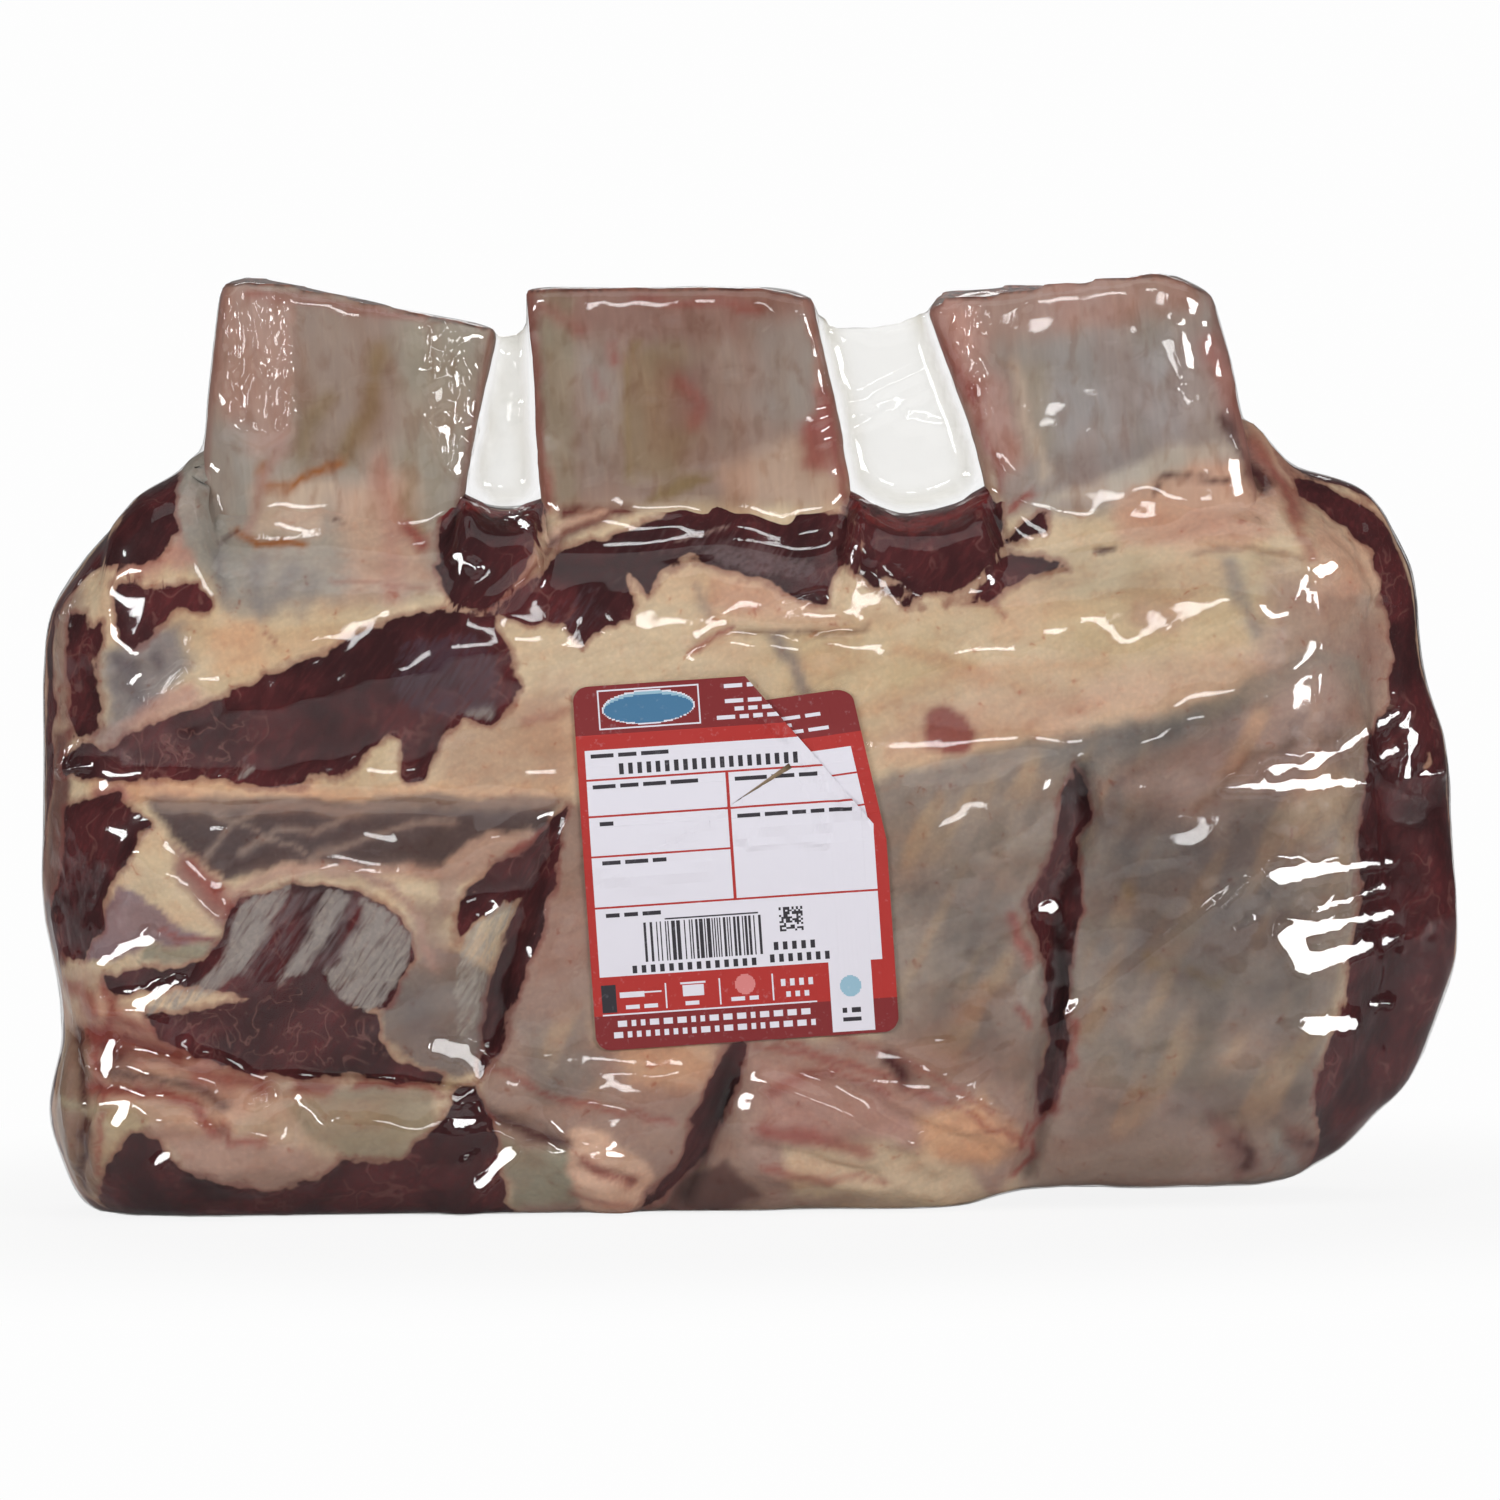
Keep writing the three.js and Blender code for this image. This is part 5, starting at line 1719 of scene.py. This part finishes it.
# %% [markdown]
# Clear film is hardly there when you look straight at it and mirrors like glass at a slant. Layer
# Weight's Facing value, raised to the fifth power, mixes the two, and unlike the Fresnel node it
# gives the same on both sides of a sheet, so that light gets in and out alike. A trace of pale haze
# stands for the film's own milkiness. Where two sheets lie together in the gaps there is more of it,
# and at their rims a little juice between the sheets makes it yellowish.

# %% Film
FILM_MIRROR = 0.042
FILM_GLANCE = 0.6
FILM_HAZE = 0.001
WEB_HAZE = 0.13
RIM_HAZE = 0.14
RIM_TINT = tint(206, 196, 150)
FILM_WHITE = tint(228, 224, 212)
WHITE = (1, 1, 1, 1)


def film_material():
    r = Recipe("vacuum_film")
    relief = r.bump(r.noise(4, detail=2, distortion=0.8, place=r.grain(2, FIBRE_LEAN)), 0.05)
    mirror = r.node("BsdfGlossy", {"Color": WHITE, "Roughness": 0.07, "Normal": relief})
    clear = r.node("BsdfTransparent", {"Color": WHITE})
    facing = r.node("LayerWeight", {"Blend": 0.5, "Normal": relief}).outputs["Facing"]
    glance = r.math("MULTIPLY", r.math("POWER", facing, 5.0), FILM_GLANCE)
    glance = r.math("ADD", glance, FILM_MIRROR)
    sheet = r.shared(glance, clear.outputs[0], mirror.outputs[0])
    rim = r.attribute("rim")
    milk = r.node("BsdfDiffuse", {"Color": r.mix(rim, FILM_WHITE, RIM_TINT)})
    haze = r.math("ADD", r.math("MULTIPLY", rim, RIM_HAZE), FILM_HAZE)
    haze = r.math("ADD", r.math("MULTIPLY", r.attribute("web"), WEB_HAZE), haze)
    return r.finish(r.shared(haze, sheet, milk.outputs[0]))


film.data.materials.append(film_material())

# %% [markdown]
# The label is a flat piece of paper, 60 by 72 millimetres, that is printed before it is stuck on. So
# it is made flat, as a grid whose lines are moved to the borders of the print, and each face takes
# its ink. The print is fields of colour, rules, a row of bars of random width, dashes in the place
# of words and a few plain signs. All its places are millimetres from the lower left corner.

# %% Print the label
INK_RED = tint(176, 50, 46)
INK_DARK_RED = tint(128, 42, 44)
INK_BLACK = tint(52, 48, 54)
INK_BLUE = tint(70, 118, 154)
INK_PALE_BLUE = tint(150, 186, 204)
PAPER = tint(226, 223, 232)
PINK_PRINT = tint(214, 130, 128)

# Ink, left, right, low and high border.
FIELDS = [
    (INK_RED, 0, 60, 0, 72),
    (INK_DARK_RED, 0, 60, 0, 6.8),
    (INK_DARK_RED, 0, 60, 62.3, 72),
    (PAPER, 4.8, 25.0, 63.2, 71.1),
    (INK_DARK_RED, 5.1, 24.7, 63.5, 70.8),
    (PAPER, 1.6, 57.6, 14.5, 59.3),
    (PAPER, 46.9, 55.3, 0.6, 14.5),
    (INK_RED, 1.6, 57.6, 53.2, 53.6),
    (INK_RED, 1.6, 57.6, 46.0, 46.4),
    (INK_RED, 1.6, 29.3, 38.1, 38.5),
    (INK_RED, 1.6, 57.6, 28.0, 28.4),
    (INK_RED, 29.1, 29.7, 28.0, 53.6),
    (INK_BLACK, 15.2, 33.7, 25.1, 25.4),
    (PAPER, 1.7, 44.2, 6.8, 7.1),
    (INK_BLACK, 1.7, 4.6, 7.4, 12.9),
    (PAPER, 5.3, 10.2, 10.2, 11.3),
    (PAPER, 10.2, 13.6, 10.9, 11.2),
    (PAPER, 17.8, 22.0, 9.7, 11.9),
    (PAPER, 17.4, 22.4, 12.1, 12.5),
    (PAPER, 14.3, 14.6, 7.6, 12.6),
    (PAPER, 25.0, 25.3, 7.6, 12.8),
    (PAPER, 35.5, 35.8, 7.7, 13.0),
]

# Rows in the place of words: ink, left, right, low and high border, most cells in a dash.
CELLS_ACROSS = 66
DASH_SEED = 7
ROWS = [
    (INK_BLACK, 3.1, 13.9, 57.7, 58.5, 6),
    (INK_BLACK, 8.0, 43.2, 54.2, 56.4, 1),
    (INK_BLACK, 3.1, 23.4, 51.6, 52.4, 7),
    (INK_BLACK, 30.6, 47.6, 51.4, 52.2, 7),
    (INK_BLACK, 3.2, 6.6, 44.3, 45.1, 3),
    (INK_BLACK, 31.0, 50.0, 44.1, 44.9, 5),
    (INK_BLACK, 3.2, 14.9, 36.6, 37.4, 6),
    (INK_BLACK, 3.2, 14.0, 26.2, 27.0, 6),
    (INK_BLACK, 8.3, 32.6, 14.9, 16.4, 1),
    (INK_BLACK, 36.6, 45.2, 17.6, 19.2, 1),
    (INK_BLACK, 35.6, 46.6, 15.2, 16.8, 1),
    (PAPER, 29.7, 44.0, 69.9, 70.7, 4),
    (PAPER, 30.4, 52.0, 66.9, 67.7, 4),
    (PAPER, 32.0, 46.0, 65.3, 66.1, 4),
    (PAPER, 28.4, 53.0, 63.7, 64.5, 4),
    (PAPER, 6.3, 12.1, 7.9, 8.7, 3),
    (PAPER, 17.8, 21.7, 7.9, 8.7, 3),
    (PAPER, 26.9, 33.4, 8.1, 8.9, 3),
    (PAPER, 37.4, 43.2, 10.4, 11.8, 1),
    (PAPER, 38.3, 42.4, 8.2, 9.3, 1),
    (PAPER, 4.3, 42.4, 4.5, 5.7, 2),
    (PAPER, 3.2, 43.8, 2.3, 3.5, 2),
    (INK_BLACK, 49.0, 53.5, 4.3, 5.3, 2),
    (INK_BLACK, 48.8, 53.5, 2.6, 3.4, 4),
]
BARS = {"left": 10.9, "right": 34.2, "low": 17.0, "high": 24.8}
BAR_SEED = 5
BAR_WIDTHS = [0.25, 0.25, 0.5, 0.75]
BAR_GAPS = [0.25, 0.5, 0.75]
CODE_SEED = 9
CODE_FILL = 0.5
CODE = {"left": 37.8, "right": 42.5, "low": 21.2, "high": 25.7, "cells": 11}

# Round signs: ink, middle, half width and half height. Their rims are cut in steps.
ROUNDS = [
    (PAPER, 14.8, 67.2, 9.2, 3.4),
    (INK_PALE_BLUE, 14.8, 67.2, 8.9, 3.1),
    (INK_BLUE, 14.8, 66.9, 8.9, 2.8),
    (PINK_PRINT, 30.2, 11.3, 2.0, 2.0),
    (INK_PALE_BLUE, 51.0, 9.6, 2.1, 2.1),
]
ROUND_STEP = 0.3
CODE_STEP = (CODE["right"] - CODE["left"]) / CODE["cells"]


def bar_stops():
    """Left and right borders of the black bars, of random width."""
    draw = random.Random(BAR_SEED)
    stops = []
    place = BARS["left"]
    while place < BARS["right"]:
        width = draw.choice(BAR_WIDTHS)
        stops.append((place, min(place + width, BARS["right"])))
        place += width + draw.choice(BAR_GAPS)
    return stops


def dashes():
    """Every row as fields of random length that start and end on a common lattice of cells."""
    draw = random.Random(DASH_SEED)
    cell = LABEL_SIZE[0] / CELLS_ACROSS
    fields = []
    for ink, left, right, low, high, longest in ROWS:
        start = round(left / cell)
        while start * cell < right:
            end = start + draw.randint((longest + 1) // 2, longest)
            fields.append((ink, start * cell, end * cell, low, high))
            start = end + 1
    return fields


def ink_at(u, v, fields, bars, code):
    ink = None
    for shade, left, right, low, high in fields:
        if left <= u <= right and low <= v <= high:
            ink = shade
    for shade, middle_u, middle_v, half_width, half_height in ROUNDS:
        if math.hypot((u - middle_u) / half_width, (v - middle_v) / half_height) < 1:
            ink = shade
    if BARS["low"] <= v <= BARS["high"] and any(left <= u <= right for left, right in bars):
        ink = INK_BLACK
    cell = (math.floor((u - CODE["left"]) / CODE_STEP), math.floor((v - CODE["low"]) / CODE_STEP))
    return INK_BLACK if cell in code else ink


print(len(FIELDS), "fields,", len(ROWS), "rows of dashes")

# %% [markdown]
# The sheet has a pleat, as if its upper right corner had been pushed in while it was stuck on: it is
# folded back under itself along one line and forth again along a second one. The pleat is deepest
# at the upper edge and runs out at the right border. A small tear lies beside it. The sheet is cut
# along both lines of the pleat now, so that it can fold there without a ragged edge.

# %% Cut the sheet
PLEAT = {"top": (34.6, 71.4), "foot": (60.0, 38.0), "fold": 4.8, "rise": 1.0, "eases": 14.0}
TEAR = [(30.0, 46.9), (42.3, 53.2), (41.8, 54.2)]
STEP_UP = 2.0
SAME_STOP = 0.02
pleat_run = np.subtract(PLEAT["foot"], PLEAT["top"])
pleat_length = float(np.hypot(*pleat_run))
pleat_along = pleat_run / pleat_length
pleat_across = np.array([-pleat_along[1], pleat_along[0]])
PLEAT_LINES = [
    (PLEAT["top"], PLEAT["foot"]),
    (tuple(PLEAT["top"] + pleat_across * PLEAT["fold"]), PLEAT["foot"]),
]


def steps(low, high, size):
    return list(np.linspace(low, high, max(round((high - low) / size), 1) + 1))


def merged_stops(stops):
    """The stops in order, without those that all but touch the one before."""
    kept = []
    for stop in sorted(stops):
        if not kept or stop - kept[-1] > SAME_STOP:
            kept.append(stop)
    return kept


def cut_along(bm, start, end):
    """Cuts the flat sheet along the line through two points."""
    run = Vector(end) - Vector(start)
    everything = bm.verts[:] + bm.edges[:] + bm.faces[:]
    bmesh.ops.bisect_plane(
        bm, geom=everything, plane_co=Vector((*start, 0)) * MM, plane_no=(run.y, -run.x, 0))


def printed_sheet():
    """The flat label, pleat and tear cut, with one ink for each face."""
    width, height = LABEL_SIZE
    fields = FIELDS + dashes()
    bars = bar_stops()
    draw = random.Random(CODE_SEED)
    code = {(i, j) for i in range(CODE["cells"]) for j in range(CODE["cells"])
            if draw.random() < CODE_FILL}
    across = steps(0, width, width / CELLS_ACROSS) + [stop for bar in bars for stop in bar]
    across += steps(CODE["left"], CODE["right"], CODE_STEP)
    up = steps(0, height, STEP_UP) + [BARS["low"], BARS["high"]]
    up += steps(CODE["low"], CODE["high"], CODE_STEP)
    for _, left, right, low, high in fields:
        across += [left, right]
        up += [low, high]
    for _, u, v, half_width, half_height in ROUNDS:
        across += steps(u - half_width, u + half_width, ROUND_STEP)
        up += steps(v - half_height, v + half_height, ROUND_STEP)
    across, up = merged_stops(across), merged_stops(up)

    bm = bmesh.new()
    bmesh.ops.create_grid(bm, x_segments=len(across) - 1, y_segments=len(up) - 1, size=0.5)
    for vert in bm.verts:
        vert.co.x = MM * np.interp(vert.co.x, np.linspace(-0.5, 0.5, len(across)), across)
        vert.co.y = MM * np.interp(vert.co.y, np.linspace(-0.5, 0.5, len(up)), up)
    for start, end in [*PLEAT_LINES, *zip(TEAR, TEAR[1:] + TEAR[:1])]:
        cut_along(bm, start, end)
    middles = np.array([face.calc_center_median() for face in bm.faces]) / MM
    torn = inside_by(middles[:, 0], middles[:, 1], TEAR) > 0
    bmesh.ops.delete(bm, geom=[face for face, gone in zip(bm.faces, torn) if gone], context="FACES")
    piece = piece_of(bm, "paper_label")
    ink = piece.data.attributes.new("ink", "FLOAT_COLOR", "FACE")
    for (u, v, _), value in zip(middles[~torn], ink.data):
        value.color = rgba(ink_at(u, v, fields, bars, code))
    return piece


label = printed_sheet()
print("flat label:", len(label.data.polygons), "faces")

# %% [markdown]
# Laid down, each point of the sheet goes to the film's front, and a few rounds of smoothing give it
# the stiffness of paper. Then come the layers of the pleat and the creases, and last the thickness.

# %% Lay the label on the bag
LABEL_TURN = 3.2
LABEL_CORNER = 3.0
LABEL_OFF_FILM = 0.35
LABEL_LEAST_OFF = 0.21
LABEL_SMOOTHING = 8
PAPER_THICKNESS = 0.12
RAY_START = -100.0
# Line, reach, rise.
PAPER_CREASES = [
    ([(31, 40), (38, 42), (46, 41), (54, 46)], 0.9, 0.7),
    ([(33, 38.5), (41, 39.5), (48, 38)], 0.8, 0.5),
    ([(44, 55), (51, 47)], 0.8, 0.5),
    ([(51, 47), (56, 43)], 0.9, 0.8),
    ([(36, 64), (42, 59)], 0.7, 0.5),
    ([(30, 47), (20, 42), (12, 41)], 1.2, 0.4),
    ([(0, 36), (12, 33), (24, 35)], 1.4, 0.4),
]


def rounded(u, v):
    """Rounds the sheet's corners by moving points inwards."""
    width, height = LABEL_SIZE
    inner_u = np.clip(u, LABEL_CORNER, width - LABEL_CORNER)
    inner_v = np.clip(v, LABEL_CORNER, height - LABEL_CORNER)
    du, dv = u - inner_u, v - inner_v
    longest = np.maximum(np.maximum(np.abs(du), np.abs(dv)), TINY)
    pull = longest / np.maximum(np.hypot(du, dv), TINY)
    return inner_u + du * pull, inner_v + dv * pull


def pleated(u, v):
    """Folds the sheet along the two lines. Returns the new places and how far each layer rises."""
    du, dv = u - PLEAT["top"][0], v - PLEAT["top"][1]
    along = du * pleat_along[0] + dv * pleat_along[1]
    across = du * pleat_across[0] + dv * pleat_across[1]
    depth = np.clip(1 - along / pleat_length, 0, None)
    fold = np.maximum(PLEAT["fold"] * depth, TINY)
    over = np.clip(across / fold, 0, None)
    folded = np.where(over > 1, across - 2 * fold, -np.abs(across))
    move = folded - across
    rise = np.where(across <= 0, smooth(1 + across / PLEAT["eases"]), np.clip(1 - over, 0, 1))
    u = u + pleat_across[0] * move
    v = v + pleat_across[1] * move
    return u, v, rise * PLEAT["rise"] * depth


def front_of(tree, x, z):
    """The y of a surface as seen from the front at every x, z."""
    depth = np.empty(len(x))
    for i, (px, pz) in enumerate(zip(x * MM, z * MM)):
        place, _, _, _ = tree.ray_cast(Vector((px, RAY_START * MM, pz)), Vector((0, 1, 0)))
        depth[i] = place.y / MM
    return depth


def lay_label(piece, tree):
    flat = places(piece)
    u, v = rounded(flat[:, 0], flat[:, 1])
    crease = sum(rise * bell(to_line(u, v, line) / reach) for line, reach, rise in PAPER_CREASES)
    u, v, layer = pleated(u, v)
    u, v = u - LABEL_SIZE[0] / 2, v - LABEL_SIZE[1] / 2
    angle = math.radians(LABEL_TURN)
    x = LABEL_CENTRE[0] + u * math.cos(angle) - v * math.sin(angle)
    z = LABEL_CENTRE[1] + u * math.sin(angle) + v * math.cos(angle)
    bag = front_of(tree, x, z)
    move_to(piece, np.column_stack([x, bag - LABEL_OFF_FILM, z]))
    apply_modifier(piece, "SMOOTH", factor=0.5, iterations=LABEL_SMOOTHING, use_x=False, use_z=False)
    points = places(piece)
    points[:, 1] = np.minimum(points[:, 1], bag - LABEL_LEAST_OFF) - crease - layer
    move_to(piece, points)


lay_label(label, tree_of([copy_of(film)]))
apply_modifier(label, "SOLIDIFY", thickness=PAPER_THICKNESS * MM, offset=1.0)
print("label:", len(label.data.polygons), "faces")

# %% [markdown]
# The print is worn in places, so that the paper shows through it. A broad, low bump breaks up the
# light on the flat sheet.

# %% Paper
PRINT_WEAR = 0.12


def paper_material():
    r = Recipe("label_paper")
    worn = r.math("MULTIPLY", r.ramp(r.noise(1.1, detail=3), 0.6, 0.8), PRINT_WEAR)
    colour = r.mix(worn, r.attribute("ink", "Color"), PAPER)
    return r.skin(colour, 0.42, 0.3, r.bump(r.noise(9, detail=2), 0.3))


label.data.materials.append(paper_material())

# %% [markdown]
# Last, each piece is tied to the imported model: it rides on the one rigid body and stands for its
# solid.

# %% Tie the pieces to the model
for piece, nodes, slot in [
        (meat, ["meat_slab"], "meat"), (film, WEB_NODES, "film"), (label, ["label"], "label")]:
    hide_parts(*nodes)
for rib, node in zip(ribs, RIB_NAMES):
    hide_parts(node)
pieces = [meat, *ribs, film, label]
for piece in pieces:
    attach(piece, "root")

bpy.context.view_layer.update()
for piece in pieces:
    triangles = sum(len(face.vertices) - 2 for face in piece.data.polygons)
    print(piece.name, triangles, "triangles")
